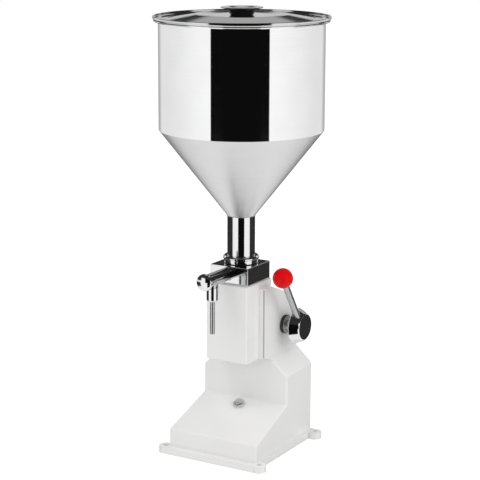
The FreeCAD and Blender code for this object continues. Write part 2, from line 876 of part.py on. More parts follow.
def cover_round_edge(edge):
    """Picks the cover's front upright corners and the lower front edge."""
    front = near(middle(edge).y, cover_front.number)
    if straight(edge, 2):
        return front
    return near(middle(edge).z, cover_bottom.number) and (front or straight(edge, 1))


# Screws from below the base plate into the foot's bosses

def make_base_screws():
    screws = []
    head_top = d.base_head_thick
    for i, (x, y) in enumerate(base_screw_spots()):
        screws.append(turned("base_screw%d" % i, [
            (ZERO, ZERO), (d.base_head_radius, ZERO), (d.base_head_radius, head_top),
            (d.base_screw_radius, head_top), (d.base_screw_radius, d.base_thick + d.base_screw_grip),
            (ZERO, d.base_thick + d.base_screw_grip),
        ], (x, y, ZERO)))
    lifted = group("base_screws", screws)
    place(lifted, (ZERO, ZERO, d.fit_gap))
    keep("base_screws", lifted)


# Valve block and the screws that hold it

def make_valve_block():
    low = (-(d.block_width / 2), block_front, pad_top)
    blank = box("block_blank", low, (d.block_width / 2, block_back, block_top))
    blank = round_part("block_round", blank, d.block_edge, lambda e: True)
    at = (ZERO, d.head_y, pad_top - d.overrun)
    tools = [
        cylinder("inlet_pocket", d.inlet_pocket_radius, d.inlet_pocket_height + d.overrun, at),
        cylinder("inlet_hole", d.inlet_hole_radius, d.block_height * 2, at),
        cylinder("spigot_hole", d.spigot_radius + d.fit_gap, d.spigot_length + d.fit_gap + d.overrun,
                 (ZERO, d.head_y, block_top - d.spigot_length - d.fit_gap)),
        cylinder("outlet_port", d.outlet_port_radius, d.block_depth,
                 (ZERO, d.head_y, outlet_port_z), TURN_Y),
        cylinder("outlet_spigot_hole", d.outlet_spigot_radius, d.outlet_spigot_length + d.overrun,
                 (ZERO, block_front + d.outlet_spigot_length, outlet_z), TURN_Y),
        torus("cylinder_seal_groove", barrel_radius, d.barrel_seal_section, (ZERO, d.head_y, pad_top)),
    ]
    for i, (x, y) in enumerate(block_screw_spots()):
        tools.append(cylinder("block_thread%d" % i, d.block_screw_radius, d.block_screw_grip + d.overrun,
                              (x, y, pad_top - d.overrun)))
    keep("valve_block", cut("valve_block", blank, tools))


def make_block_screws():
    screws = []
    for i, (x, y) in enumerate(block_screw_spots()):
        seat = block_screw_seat(y)
        under = pad_top - seat
        screws.append(turned("block_screw%d" % i, [
            (ZERO, ZERO), (d.block_head_radius, ZERO), (d.block_head_radius, d.block_head_thick),
            (d.block_screw_radius, d.block_head_thick),
            (d.block_screw_radius, d.block_head_thick + under + d.block_screw_grip - d.fit_gap),
            (ZERO, d.block_head_thick + under + d.block_screw_grip - d.fit_gap),
        ], (x, y, seat - d.block_head_thick)))
    keep("block_screws", group("block_screws", screws))


# Pump cylinder and piston

def make_cylinder_barrel():
    top = pad_top
    keep("cylinder_barrel", turned("cylinder_barrel", [
        (d.bore_radius, -d.barrel_length), (barrel_radius, -d.barrel_length),
        (barrel_radius, -d.barrel_rim_thick), (barrel_rim_radius, -d.barrel_rim_thick),
        (barrel_rim_radius, ZERO), (d.bore_radius, ZERO),
    ], (ZERO, d.head_y, top)))
    ring = torus("seal_ring", barrel_radius, d.barrel_seal_section, (ZERO, d.head_y, top))
    above = box("seal_keep", (-barrel_rim_radius, d.head_y - barrel_rim_radius, top),
                (barrel_rim_radius, d.head_y + barrel_rim_radius, top + d.overrun))
    keep("cylinder_seal", common("cylinder_seal", [ring, above]))


def piston_top():
    return pad_top - d.piston_top_gap


def make_piston():
    radius = d.bore_radius - d.running_gap
    groove = radius - d.ring_section
    points = [(ZERO, -d.piston_length), (radius, -d.piston_length)]
    for number in (2, 1):
        low = -(d.ring_first + d.ring_pitch * (number - 1) + d.ring_section)
        high = low + d.ring_section * 2
        points += [(radius, low), (groove, low), (groove, high), (radius, high)]
    points += [(radius, ZERO), (ZERO, ZERO)]
    keep("piston_head", turned("piston_head", points, (ZERO, d.head_y, piston_top())))
    rings = []
    for number in (1, 2):
        z = piston_top() - d.ring_first - d.ring_pitch * (number - 1)
        rings.append(turned("piston_ring%d" % number, [
            (groove, -d.ring_section), (radius, -d.ring_section), (radius + d.running_gap * RING_SHARE, ZERO),
            (radius, d.ring_section), (groove, d.ring_section),
        ], (ZERO, d.head_y, z)))
    keep("piston_rings", group("piston_rings", rings))


RING_SHARE = 0.8


def pin_height():
    """Height of the fork's pin above the shaft in the pose of the photograph."""
    reach = shaft_y - d.head_y
    return shaft_z + reach * math.tan(math.radians(d.arm_angle.number))


def make_piston_rod():
    pin_z = pin_height()
    rod_low = pin_z + d.fork_roof + d.fork_roof_thick
    rod_foot = rod_low - d.fork_roof_thick / 2
    rod = cylinder("rod_shank", d.rod_radius, piston_top() - d.piston_length - rod_foot,
                   (ZERO, d.head_y, rod_foot))
    fork = box("rod_fork", (-(d.fork_width / 2), d.head_y - d.fork_depth / 2, pin_z - d.fork_below),
               (d.fork_width / 2, d.head_y + d.fork_depth / 2, rod_low))
    fork = round_part("rod_fork_round", fork, d.clip_thick, lambda e: straight(e, 2))
    gap_half = d.arm_thick / 2 + d.arm_side_play
    gap = box("rod_fork_gap", (-gap_half, d.head_y - d.fork_depth, pin_z - d.fork_below * 2),
              (gap_half, d.head_y + d.fork_depth, pin_z + d.fork_roof))
    pin_hole = cylinder("rod_pin_hole", d.pin_radius, d.fork_width * 2, (-d.fork_width, d.head_y, pin_z),
                        TURN_X)
    keep("piston_rod", cut("piston_rod", fuse("piston_rod_blank", [rod, fork]), [gap, pin_hole]))
    length = d.fork_width + d.clip_thick * 4
    keep("rod_pin", cylinder("rod_pin", d.pin_radius, length, (-(length / 2), d.head_y, pin_z), TURN_X))
    clips = []
    for side in (-1, 1):
        start = d.fork_width / 2 if side > 0 else -(d.fork_width / 2) - d.clip_thick
        ring = cylinder("pin_clip_disc%d" % (side + 1), d.pin_radius + d.clip_width, d.clip_thick,
                        (start, d.head_y, pin_z), TURN_X)
        hole = cylinder("pin_clip_bore%d" % (side + 1), d.pin_radius, d.clip_thick,
                        (start, d.head_y, pin_z), TURN_X)
        clips.append(cut("pin_clip%d" % (side + 1), ring, [hole]))
    keep("pin_clips", group("pin_clips", clips))


# Drive shaft, bearings and arm

def make_drive_shaft():
    start = -d.column_half - d.flange_thick - d.shaft_left_over
    end = hub_inner_x + d.hub_bore_depth - d.fit_gap
    shaft = cylinder("shaft_bar", d.shaft_radius, end - start, (start, shaft_y, shaft_z), TURN_X)
    half = d.key_length / 2
    seat = box("key_seat", (-half, shaft_y - d.key_half, shaft_z + d.shaft_radius - d.key_half),
               (half, shaft_y + d.key_half, shaft_z + d.shaft_radius + d.key_half))
    keep("drive_shaft", cut("drive_shaft", shaft, [seat]))
    key = box("arm_key", (-half, shaft_y - d.key_half, shaft_z + d.shaft_radius - d.key_half),
              (half, shaft_y + d.key_half, shaft_z + d.shaft_radius + d.key_half))
    keep("arm_key", key)


def bearing(side):
    """A flanged bush in one side wall of the column."""
    outward = TURN_X if side > 0 else FreeCAD.Rotation(FreeCAD.Vector(0, 1, 0), -90)
    at = (d.column_half * side, shaft_y, shaft_z)
    name = "right_bearing" if side > 0 else "left_bearing"
    bore = d.shaft_radius + d.shaft_gap
    body = turned(name + "_blank", [
        (bore, -d.wall), (bush_radius, -d.wall), (bush_radius, ZERO), (flange_radius, ZERO),
        (flange_radius, d.flange_thick - d.block_edge), (flange_radius - d.block_edge, d.flange_thick),
        (bore, d.flange_thick),
    ], at, outward)
    reach = d.wall + d.flange_thick + d.overrun * 2
    start = (d.column_half - d.wall if side > 0 else -d.column_half - d.flange_thick) - d.overrun
    holes = [cylinder("%s_hole%d" % (name, i), d.flange_screw_radius, reach, (start, y, z), TURN_X)
             for i, (y, z) in enumerate(flange_screw_spots())]
    keep(name, cut(name, body, holes))


def make_bearing_screws():
    screws = []
    for side in (-1, 1):
        inner = d.column_half + d.flange_thick - d.flange_screw_length
        start = inner if side > 0 else -(inner + d.flange_screw_length - d.flange_screw_radius)
        for i, (y, z) in enumerate(flange_screw_spots()):
            screws.append(cylinder("bearing_screw%d_%d" % (side + 1, i), d.flange_screw_radius,
                                   d.flange_screw_length - d.flange_screw_radius, (start, y, z), TURN_X))
    keep("bearing_screws", group("bearing_screws", screws))


def make_drive_arm():
    reach = (shaft_y - d.head_y).number
    lift = d.arm_angle.number
    far = reach / math.cos(math.radians(lift))
    middle_reach = (reach + far) / 2
    r1 = d.arm_boss_radius.number
    r2 = (d.pin_radius + d.arm_slot_play + d.arm_tip_wall).number
    lean = math.acos((r1 - r2) / middle_reach)
    arc_boss = [FreeCAD.Vector(0, r1 * math.cos(a), r1 * math.sin(a)) for a in (lean, math.pi, -lean)]
    arc_tip = [FreeCAD.Vector(0, middle_reach + r2 * math.cos(a), r2 * math.sin(a)) for a in (lean, 0, -lean)]
    wire = Part.Wire([
        Part.Arc(*arc_boss).toShape(),
        Part.makeLine(arc_boss[2], arc_tip[2]),
        Part.Arc(*reversed(arc_tip)).toShape(),
        Part.makeLine(arc_tip[0], arc_boss[0]),
    ])
    thick = d.arm_thick.number
    plate = Part.Face(wire).extrude(FreeCAD.Vector(thick, 0, 0))
    plate.translate(FreeCAD.Vector(-thick / 2, 0, 0))
    play = (d.pin_radius + d.arm_slot_play).number
    slot = Part.makeBox(thick * 2, far - reach, play * 2, FreeCAD.Vector(-thick, reach, -play))
    for y in (reach, far):
        slot = slot.fuse(Part.makeCylinder(play, thick * 2, FreeCAD.Vector(-thick, y, 0),
                                           FreeCAD.Vector(1, 0, 0)))
    half = d.arm_boss_half.number
    boss = Part.makeCylinder(r1, half * 2, FreeCAD.Vector(-half, 0, 0), FreeCAD.Vector(1, 0, 0))
    shape = plate.cut(slot).fuse(boss)
    shape = shape.cut(Part.makeCylinder(d.shaft_radius.number, half * 4, FreeCAD.Vector(-half * 2, 0, 0),
                                        FreeCAD.Vector(1, 0, 0)))
    # the arm is drawn along +Y, then turned to point at the cylinder
    shape.rotate(FreeCAD.Vector(0, 0, 0), FreeCAD.Vector(1, 0, 0), 180 - lift)
    shape.translate(FreeCAD.Vector(0, shaft_y.number, shaft_z.number))
    key = Part.makeBox(half * 4, d.key_half.number * 2, d.key_half.number * 2,
                       FreeCAD.Vector(-half * 2, (shaft_y - d.key_half).number,
                                      (shaft_z + d.shaft_radius - d.key_half).number))
    shape = shape.cut(key).removeSplitter()
    arm = doc.addObject("Part::Feature", "drive_arm")
    arm.Shape = shape
    keep("drive_arm", arm)


def make_shaft_clip():
    start = -d.column_half - d.flange_thick - d.fit_gap - d.ring_clip_thick
    at = (start, shaft_y, shaft_z)
    clip_radius = d.shaft_radius + d.ring_clip_width
    ring = cylinder("shaft_clip_disc", clip_radius, d.ring_clip_thick, at, TURN_X)
    hole = cylinder("shaft_clip_bore", d.shaft_radius, d.ring_clip_thick, at, TURN_X)
    mouth = box("shaft_clip_mouth", (start - d.overrun, shaft_y - d.key_half, shaft_z - clip_radius * 2),
                (start + d.overrun, shaft_y + d.key_half, shaft_z))
    keep("shaft_clip", cut("shaft_clip", ring, [hole, mouth]))


# Lever

def make_lever_hub():
    blank = turned("hub_blank", [
        (ZERO, d.hub_bore_depth), (d.shaft_radius, d.hub_bore_depth), (d.shaft_radius, ZERO),
        (d.hub_inner_radius - d.hub_edge, ZERO), (d.hub_inner_radius, d.hub_edge),
        (d.hub_outer_radius, d.hub_length - d.hub_edge), (d.hub_outer_radius - d.hub_edge, d.hub_length),
        (ZERO, d.hub_length),
    ], (hub_inner_x, shaft_y, shaft_z), TURN_X)
    rod_hole = lever_cylinder("hub_rod_hole", d.lever_rod_radius, lever_rod_start, d.hub_inner_radius)
    screw_hole = cylinder("hub_screw_hole", d.set_screw_radius, d.hub_inner_radius * 2,
                          (hub_mid_x, shaft_y, shaft_z - d.shaft_radius - d.hub_inner_radius * 2))
    keep("lever_hub", cut("lever_hub", blank, [rod_hole, screw_hole]))
    keep("hub_set_screw", cylinder("hub_set_screw", d.set_screw_radius, d.set_screw_length,
                                   (hub_mid_x, shaft_y, shaft_z - d.shaft_radius - d.set_screw_length)))


def lever_cylinder(name, radius, start, length):
    """Makes a cylinder along the lever, from a start distance off the shaft's axis."""
    a = math.radians(d.lever_angle.number)
    along = FreeCAD.Vector(0, -math.sin(a), math.cos(a))
    foot = FreeCAD.Vector(hub_mid_x.number, shaft_y.number, shaft_z.number)
    thing = doc.addObject("Part::Cylinder", name)
    bind(thing, "Radius", radius)
    bind(thing, "Height", length)
    thing.Placement = FreeCAD.Placement(foot + along * start.number,
                                        FreeCAD.Rotation(FreeCAD.Vector(0, 0, 1), along))
    return thing


def make_lever():
    end = d.lever_length - d.ball_radius + d.ball_socket
    keep("lever_rod", lever_cylinder("lever_rod", d.lever_rod_radius, lever_rod_start, end - lever_rod_start))
    a = math.radians(d.lever_angle.number)
    centre = (hub_mid_x, shaft_y - d.lever_length * math.sin(a), shaft_z + d.lever_length * math.cos(a))
    ball = sphere("ball_blank", d.ball_radius, centre)
    socket = lever_cylinder("ball_socket", d.lever_rod_radius, d.lever_length / 2, end - d.lever_length / 2)
    keep("lever_ball", cut("lever_ball", ball, [socket]))


# Stop screw on the ramp

def make_stop_screw():
    spot, turn = ramp_frame()
    nut = hex_nut("stop_nut", d.stop_nut_flats, d.stop_nut_thick, d.stop_radius, (ZERO, ZERO, ZERO), None)
    nut_spin = FreeCAD.Rotation(FreeCAD.Vector(0, 0, 1), STOP_NUT_TURN)
    nut.Placement = FreeCAD.Placement(spot, turn.multiply(nut_spin))
    keep("stop_nut", nut)
    head_top = d.stop_nut_thick + d.stop_head_thick
    screw = turned("stop_screw_blank", [
        (ZERO, -d.stop_length), (d.stop_radius - d.hub_edge, -d.stop_length),
        (d.stop_radius, -d.stop_length + d.hub_edge), (d.stop_radius, d.stop_nut_thick),
        (d.stop_head_radius, d.stop_nut_thick), (d.stop_head_radius, head_top - d.hub_edge),
        (d.stop_head_radius - d.hub_edge, head_top), (ZERO, head_top),
    ], None)
    screw.Placement = FreeCAD.Placement(spot, turn)
    slot_half = d.hub_edge
    slot = doc.addObject("Part::Box", "stop_screw_slot")
    bind(slot, "Length", d.stop_head_radius * 4)
    bind(slot, "Width", slot_half * 2)
    bind(slot, "Height", d.stop_head_thick)
    corner = FreeCAD.Vector(-2 * d.stop_head_radius.number, -slot_half.number,
                            d.stop_nut_thick.number + d.stop_head_thick.number / 2)
    slot.Placement = FreeCAD.Placement(spot, turn).multiply(FreeCAD.Placement(corner, FreeCAD.Rotation()))
    keep("stop_screw", cut("stop_screw", screw, [slot]))


# Hopper

def make_collar():
    band = d.collar_radius - d.collar_band_step
    keep("hopper_collar", turned("hopper_collar", [
        (d.inlet_hole_radius, -d.spigot_length), (d.spigot_radius, -d.spigot_length),
        (d.spigot_radius, d.seal_thick), (band, d.seal_thick),
        (band, d.collar_band_height), (d.collar_radius, d.collar_band_height),
        (d.collar_radius, d.collar_height - d.collar_chamfer),
        (d.collar_radius - d.collar_chamfer, d.collar_height),
        (d.neck_radius, d.collar_height), (d.neck_radius, d.collar_height - d.neck_seat),
        ((d.neck_radius - d.collar_ledge), d.collar_height - d.neck_seat),
        (d.inlet_hole_radius, d.seal_thick * 2),
    ], (ZERO, d.head_y, block_top)))
    seal_in = d.spigot_radius + d.fit_gap
    seal_out = seal_in + d.seal_width
    keep("hopper_seal", turned("hopper_seal", [
        (seal_in, ZERO), (seal_out, ZERO), (seal_out, d.seal_thick), (seal_in, d.seal_thick),
    ], (ZERO, d.head_y, block_top)))


def make_hopper():
    neck_in = d.neck_radius - d.neck_wall
    at = (ZERO, d.head_y, ZERO)
    keep("hopper_neck", turned("hopper_neck", [
        (neck_in, neck_low), (d.neck_radius, neck_low), (d.neck_radius, cone_low), (neck_in, cone_low),
    ], at))
    inner = d.hopper_radius - d.hopper_wall
    keep("hopper_cone", turned("hopper_cone", [
        (neck_in, cone_low), (d.neck_radius, cone_low),
        (d.hopper_radius, cone_high), (inner, cone_high),
    ], at))
    bowl = turned("hopper_bowl", [
        (d.hopper_radius, cone_high), (d.hopper_radius, rim_low), (rim_radius, rim_low),
        (rim_radius, rim_high), (inner, rim_high), (inner, cone_high),
    ], at)
    round_body(bowl, d.rim_round, lambda e: near(e.BoundBox.XMax, rim_radius.number)
               and near(e.BoundBox.ZMin, e.BoundBox.ZMax))
    keep("hopper_bowl", bowl)


def make_lid():
    sheet_thick = d.lid_sheet
    skirt_in = lid_skirt_radius - sheet_thick
    under = rim_high
    edge_in = lid_radius - d.lid_edge_wide
    keep("lid_ring", turned("lid_ring", [
        (skirt_in, under - d.lid_skirt_depth), (lid_skirt_radius, under - d.lid_skirt_depth),
        (lid_skirt_radius, under), (skirt_in, under),
    ], (ZERO, d.head_y, ZERO)))
    lid = turned("hopper_lid", [
        (ZERO, lid_dish_z - sheet_thick), (d.lid_dish_radius, lid_dish_z - sheet_thick),
        (lid_crown_radius, lid_crown_z - sheet_thick), (lid_groove_radius, under),
        (lid_radius - d.lid_sheet, under), (lid_radius, under + d.lid_sheet),
        (lid_radius, lid_edge_top - d.lid_sheet / 2), (lid_radius - d.lid_edge_wide / 2, lid_edge_top),
        (edge_in, lid_edge_top - d.lid_sheet / 2), (edge_in, lid_groove_z),
        (lid_groove_radius, lid_groove_z), (lid_crown_radius, lid_crown_z),
        (d.lid_dish_radius, lid_dish_z), (ZERO, lid_dish_z),
    ], (ZERO, d.head_y, ZERO))
    screw_hole = cylinder("lid_screw_hole", d.knob_screw_radius, d.overrun * 4,
                          (ZERO, d.head_y, lid_dish_z - d.overrun * 2))
    keep("hopper_lid", cut("hopper_lid_cut", lid, [screw_hole]))
    base = lid_dish_z
    waist = d.knob_top_radius - d.knob_waist_step
    knob = turned("knob_blank", [
        (ZERO, ZERO), (waist, ZERO),
        (d.knob_top_radius, d.knob_height - d.knob_lip), (d.knob_top_radius, d.knob_height),
        (ZERO, d.knob_height),
    ], (ZERO, d.head_y, base))
    thread = cylinder("knob_thread", d.knob_screw_radius, d.knob_screw_length * 2,
                      (ZERO, d.head_y, base - d.knob_screw_length))
    limit = cylinder("knob_thread_end", d.knob_screw_radius, d.knob_screw_length,
                     (ZERO, d.head_y, base + d.knob_screw_length))
    keep("lid_knob", cut("lid_knob", knob, [cut("knob_thread_cut", thread, [limit])]))
    cap_radius = d.knob_top_radius + d.cap_overhang
    keep("knob_cap", turned("knob_cap", [
        (ZERO, ZERO), (cap_radius - d.cap_thick / 2, ZERO), (cap_radius, d.cap_thick / 2),
        (cap_radius - d.cap_thick / 2, d.cap_thick), (cap_radius / 2, d.cap_thick + d.cap_rise),
        (ZERO, d.cap_thick + d.cap_rise),
    ], (ZERO, d.head_y, base + d.knob_height)))
    head = d.knob_screw_radius * 2
    low = -d.lid_sheet
    keep("knob_screw", turned("knob_screw", [
        (ZERO, low - d.knob_screw_radius), (head, low - d.knob_screw_radius), (head, low),
        (d.knob_screw_radius, low), (d.knob_screw_radius, d.knob_screw_length - d.fit_gap),
        (ZERO, d.knob_screw_length - d.fit_gap),
    ], (ZERO, d.head_y, base)))


# Inlet check valve

def make_inlet_valve():
    cage = cylinder("cage_disc", d.inlet_pocket_radius, d.inlet_cage_thick, (ZERO, d.head_y, pad_top))
    holes = []
    for i in range(CAGE_HOLES):
        a = 2 * math.pi * i / CAGE_HOLES
        circle = d.inlet_pocket_radius - d.inlet_cage_rim - d.inlet_cage_hole
        at = (circle * math.cos(a), d.head_y + circle * math.sin(a), pad_top - d.overrun)
        holes.append(cylinder("cage_hole%d" % i, d.inlet_cage_hole, d.inlet_cage_thick + d.overrun * 2, at))
    keep("inlet_cage", cut("inlet_cage", cage, holes))
    keep("inlet_ball", sphere("inlet_ball", d.inlet_ball_radius, (
        ZERO, d.head_y, pad_top + d.inlet_cage_thick + d.inlet_ball_radius + d.running_gap)))


CAGE_HOLES = 6


# Outlet: barrel, check valve, end cap

def make_outlet():
    length = d.outlet_length
    at = (ZERO, block_front, outlet_z)
    body = turned("outlet_blank", [
        (ZERO, -d.outlet_spigot_length), (d.outlet_spigot_radius, -d.outlet_spigot_length),
        (d.outlet_spigot_radius, ZERO), (d.root_radius, ZERO),
        (d.outlet_radius, d.root_length), (d.outlet_radius, length), (ZERO, length),
    ], at, TURN_Y)
    boss = cylinder("nozzle_boss", d.holder_radius, outlet_z - holder_high,
                    (ZERO, nozzle_y, holder_high))
    blank = fuse("outlet_fused", [body, boss])
    bore = cylinder("outlet_bore", d.outlet_bore, poppet_seat_y - outlet_end_y + d.overrun,
                    (ZERO, poppet_seat_y, outlet_z), TURN_Y)
    seat = cylinder("outlet_seat", (d.outlet_bore - d.poppet_side_gap - d.poppet_seat_lap), length,
                    (ZERO, block_front + d.outlet_spigot_length + d.overrun, outlet_z), TURN_Y)
    down = cylinder("nozzle_passage", d.holder_thread_radius, outlet_z - holder_high + d.overrun,
                    (ZERO, nozzle_y, holder_high - d.overrun))
    groove = torus("outlet_groove", d.outlet_spigot_radius, d.outlet_seal_section,
                   (ZERO, block_front + d.outlet_spigot_length / 2, outlet_z), TURN_Y)
    keep("outlet_barrel", cut("outlet_barrel", blank, [bore, seat, down, groove]))
    ring = torus("outlet_ring", d.outlet_spigot_radius, d.outlet_seal_section,
                 (ZERO, block_front + d.outlet_spigot_length / 2, outlet_z), TURN_Y)
    inside = cylinder("outlet_ring_keep", d.outlet_spigot_radius, d.outlet_spigot_length,
                      (ZERO, block_front + d.outlet_spigot_length, outlet_z), TURN_Y)
    keep("outlet_seal", common("outlet_seal", [ring, inside]))
    make_end_cap()
    make_poppet()


def make_end_cap():
    thread = d.outlet_bore - d.running_gap
    rim = d.outlet_radius + d.end_cap_lip
    points = [(ZERO, -d.end_cap_thread), (thread, -d.end_cap_thread), (thread, ZERO), (rim, ZERO)]
    for step in range(CAP_STEPS):
        a = math.pi / 2 * step / CAP_STEPS
        points.append((rim * math.cos(a), d.end_cap_thick + d.end_cap_rise * math.sin(a)))
    points.append((ZERO, d.end_cap_thick + d.end_cap_rise))
    keep("outlet_cap", turned("outlet_cap", points, (ZERO, outlet_end_y, outlet_z), TURN_Y))


CAP_STEPS = 7


def make_poppet():
    front = poppet_seat_y - d.running_gap
    disc = d.outlet_bore - d.poppet_side_gap
    stem_end = d.poppet_thick + d.poppet_stem_length
    poppet = turned("outlet_poppet", [
        (ZERO, ZERO), (disc, ZERO), (disc, d.poppet_thick),
        (d.poppet_stem_radius, d.poppet_thick), (d.poppet_stem_radius, stem_end), (ZERO, stem_end),
    ], (ZERO, front, outlet_z), TURN_Y)
    keep("outlet_poppet", poppet)
    start = front - d.poppet_thick - d.spring_wire
    stop = outlet_end_y + d.end_cap_thread + d.spring_wire
    length = (start - stop).number
    path = coil_path(d.spring_turns.number, length, (d.poppet_stem_radius + d.spring_step).number)
    first = path.Edges[0]
    heading = first.tangentAt(first.FirstParameter)
    circle = Part.makeCircle(d.spring_wire.number, first.Vertexes[0].Point, heading)
    coil = path.makePipeShell([Part.Wire([circle])], True, False)
    spring = doc.addObject("Part::Feature", "outlet_spring")
    spring.Shape = coil
    spring.Placement = FreeCAD.Placement(FreeCAD.Vector(0, start.number, outlet_z.number), TURN_Y)
    keep("outlet_spring", spring)


def coil_path(turns, length, radius):
    """A helix of tangent arcs, two of them for each half turn."""
    count = round(turns * 2)
    pitch = length / turns
    places = []
    for i in range(count + 1):
        a = math.pi * i
        spot = FreeCAD.Vector(radius * math.cos(a), radius * math.sin(a), pitch * i / 2)
        way = FreeCAD.Vector(-radius * math.sin(a), radius * math.cos(a), pitch / (math.pi * 2))
        places.append((spot, way.normalize()))
    edges = []
    for (start, way), (end, way_out) in zip(places, places[1:]):
        # the arcs meet half-way between two points that lie equally far along the end tangents
        span = end - start
        both = way + way_out
        square = (1 - way.dot(way_out)) * 2
        reach = (math.sqrt(span.dot(both) ** 2 + square * span.dot(span)) - span.dot(both)) / square
        ahead = start + way * reach
        behind = end - way_out * reach
        joint = (ahead + behind) * 0.5
        edges.append(tangent_arc(start, way, joint))
        edges.append(tangent_arc(joint, (behind - ahead).normalize(), end))
    return Part.Wire(edges)


def tangent_arc(start, way, end):
    """The arc that leaves one point in a given direction and ends in another."""
    chord = end - start
    inward = way.cross(chord).cross(way).normalize()
    radius = chord.dot(chord) / (chord.dot(inward) * 2)
    centre = start + inward * radius
    middle = centre + ((start + end) * 0.5 - centre).normalize() * radius
    return Part.Arc(start, middle, end).toShape()


# Nozzle

def make_nozzle():
    thread = d.holder_thread_radius
    keep("nozzle_holder", turned("nozzle_holder", [
        (nozzle_bore, ZERO), (d.nozzle_radius, ZERO), (d.holder_radius - d.holder_chamfer, ZERO),
        (d.holder_radius, d.holder_chamfer), (d.holder_radius, holder_high - holder_low),
        (thread, holder_high - holder_low), (thread, holder_high - holder_low + d.holder_thread_length),
        (d.nozzle_radius, holder_high - holder_low + d.holder_thread_length),
        (d.nozzle_radius, d.nozzle_seat), (nozzle_bore, d.nozzle_seat),
    ], (ZERO, nozzle_y, holder_low)))
    keep("nozzle_tube", turned("nozzle_tube", [
        (nozzle_bore, ZERO), (d.nozzle_radius, ZERO),
        (d.nozzle_radius, holder_low - nozzle_low), (nozzle_bore, holder_low - nozzle_low),
    ], (ZERO, nozzle_y, nozzle_low)))


make_base_plate()
make_stand_casting()
make_rear_cover()
make_rear_screws()
make_front_cover()
make_base_screws()
make_valve_block()
make_block_screws()
make_cylinder_barrel()
make_piston()
make_piston_rod()
make_drive_shaft()
bearing(-1)
bearing(1)
make_bearing_screws()
make_drive_arm()
make_shaft_clip()
make_lever_hub()
make_lever()
make_stop_screw()
make_collar()
make_hopper()
make_lid()
make_inlet_valve()
make_outlet()
make_nozzle()
doc.recompute()

faults = []
for thing in doc.Objects:
    if "Invalid" in thing.State or "Error" in thing.State:
        faults.append("%s is %s" % (thing.Name, thing.State))
for name, thing in parts.items():
    shape = thing.Shape
    if shape.isNull() or not shape.isValid() or not shape.Solids:
        faults.append("%s has a bad shape" % name)
if faults:
    raise RuntimeError("; ".join(faults))

os.makedirs("parts", exist_ok=True)
for name, thing in parts.items():
    thing.Shape.exportStep("parts/%s.step" % name)
print("sub-parts written:", len(parts))
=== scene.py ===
"""Dresses the hand filler: the looks of its pieces, the studio round it and the camera."""

import logging
import math
from contextlib import contextmanager
from dataclasses import dataclass
from enum import Enum
from typing import Any, Callable, Iterator, Sequence

import bmesh
import bpy
from mathutils import Matrix, Vector

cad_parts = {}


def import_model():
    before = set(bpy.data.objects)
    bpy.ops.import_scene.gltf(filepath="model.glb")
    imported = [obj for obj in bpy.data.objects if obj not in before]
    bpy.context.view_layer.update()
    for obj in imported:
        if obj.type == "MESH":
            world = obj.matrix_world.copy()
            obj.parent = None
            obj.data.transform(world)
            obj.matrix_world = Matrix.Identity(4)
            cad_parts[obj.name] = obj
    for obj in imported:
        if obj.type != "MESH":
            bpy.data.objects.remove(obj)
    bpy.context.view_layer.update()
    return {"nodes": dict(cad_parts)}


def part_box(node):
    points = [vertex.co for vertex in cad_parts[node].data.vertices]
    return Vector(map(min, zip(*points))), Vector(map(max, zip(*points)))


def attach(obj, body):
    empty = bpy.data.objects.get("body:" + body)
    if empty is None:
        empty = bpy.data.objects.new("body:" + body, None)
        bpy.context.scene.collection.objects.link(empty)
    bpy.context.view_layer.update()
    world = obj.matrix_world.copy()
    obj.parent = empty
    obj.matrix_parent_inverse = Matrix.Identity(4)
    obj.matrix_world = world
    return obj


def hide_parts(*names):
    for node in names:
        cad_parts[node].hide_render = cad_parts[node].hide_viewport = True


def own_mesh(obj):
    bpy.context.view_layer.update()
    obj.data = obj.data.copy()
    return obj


logging.basicConfig(level=logging.INFO, format="%(name)s: %(message)s")
log = logging.getLogger("hand_filler")

Colour = tuple[float, float, float]
Point = tuple[float, float, float]
Span = tuple[float, float]
Profile = list[tuple[float, float]]
Material = bpy.types.Material
Mesh = bpy.types.Mesh
Piece = bpy.types.Object

MM = 0.001
SAME_SPOT = 0.002 * MM
SHARP = 30.0
SPIN_SEED = 7
HEADING = 30.92

# places in mm that several parts share
AXIS_Y = -2.5
OUTLET_Z = 323.0
NOZZLE_Y = -96.3
SHAFT_Y = 62.5
SHAFT_Z = 215.0


# Node maths


def operator(operation: str, swapped: bool = False) -> Callable[..., "Socket"]:
    """Makes an operator of Socket.

    Args:
        operation: The Math node's operation.
        swapped: Whether the socket comes last.

    Returns:
        The operator's method.
    """

    def act(socket: "Socket", *others: Any) -> "Socket":
        """Adds the Math node."""
        values = (*others, socket) if swapped else (socket, *others)
        return socket.graph.maths(operation, *values)

    return act


class Socket:
    """A node's output with operators, so that node maths reads as plain expressions."""

    __add__ = __radd__ = operator("ADD")
    __sub__ = operator("SUBTRACT")
    __rsub__ = operator("SUBTRACT", swapped=True)
    __mul__ = __rmul__ = operator("MULTIPLY")
    __truediv__ = operator("DIVIDE")
    __pow__ = operator("POWER")
    __abs__ = operator("ABSOLUTE")

    def __init__(self, graph: "Graph", link: bpy.types.NodeSocket) -> None:
        """Keeps the graph and the output that it wraps."""
        self.graph = graph
        self.link = link

    def ease(self, low: float, high: float) -> "Socket":
        """Goes smoothly from 0 at low to 1 at high."""
        inputs = {"Value": self, "From Min": low, "From Max": high}
        return self.graph.node("ShaderNodeMapRange", inputs, interpolation_type="SMOOTHSTEP")

    def within(self, low: float, high: float, soft: float) -> "Socket":
        """Gives 1 between two values and 0 outside them, with soft ends."""
        return (self - low).ease(-soft, soft) * (high - self).ease(-soft, soft)


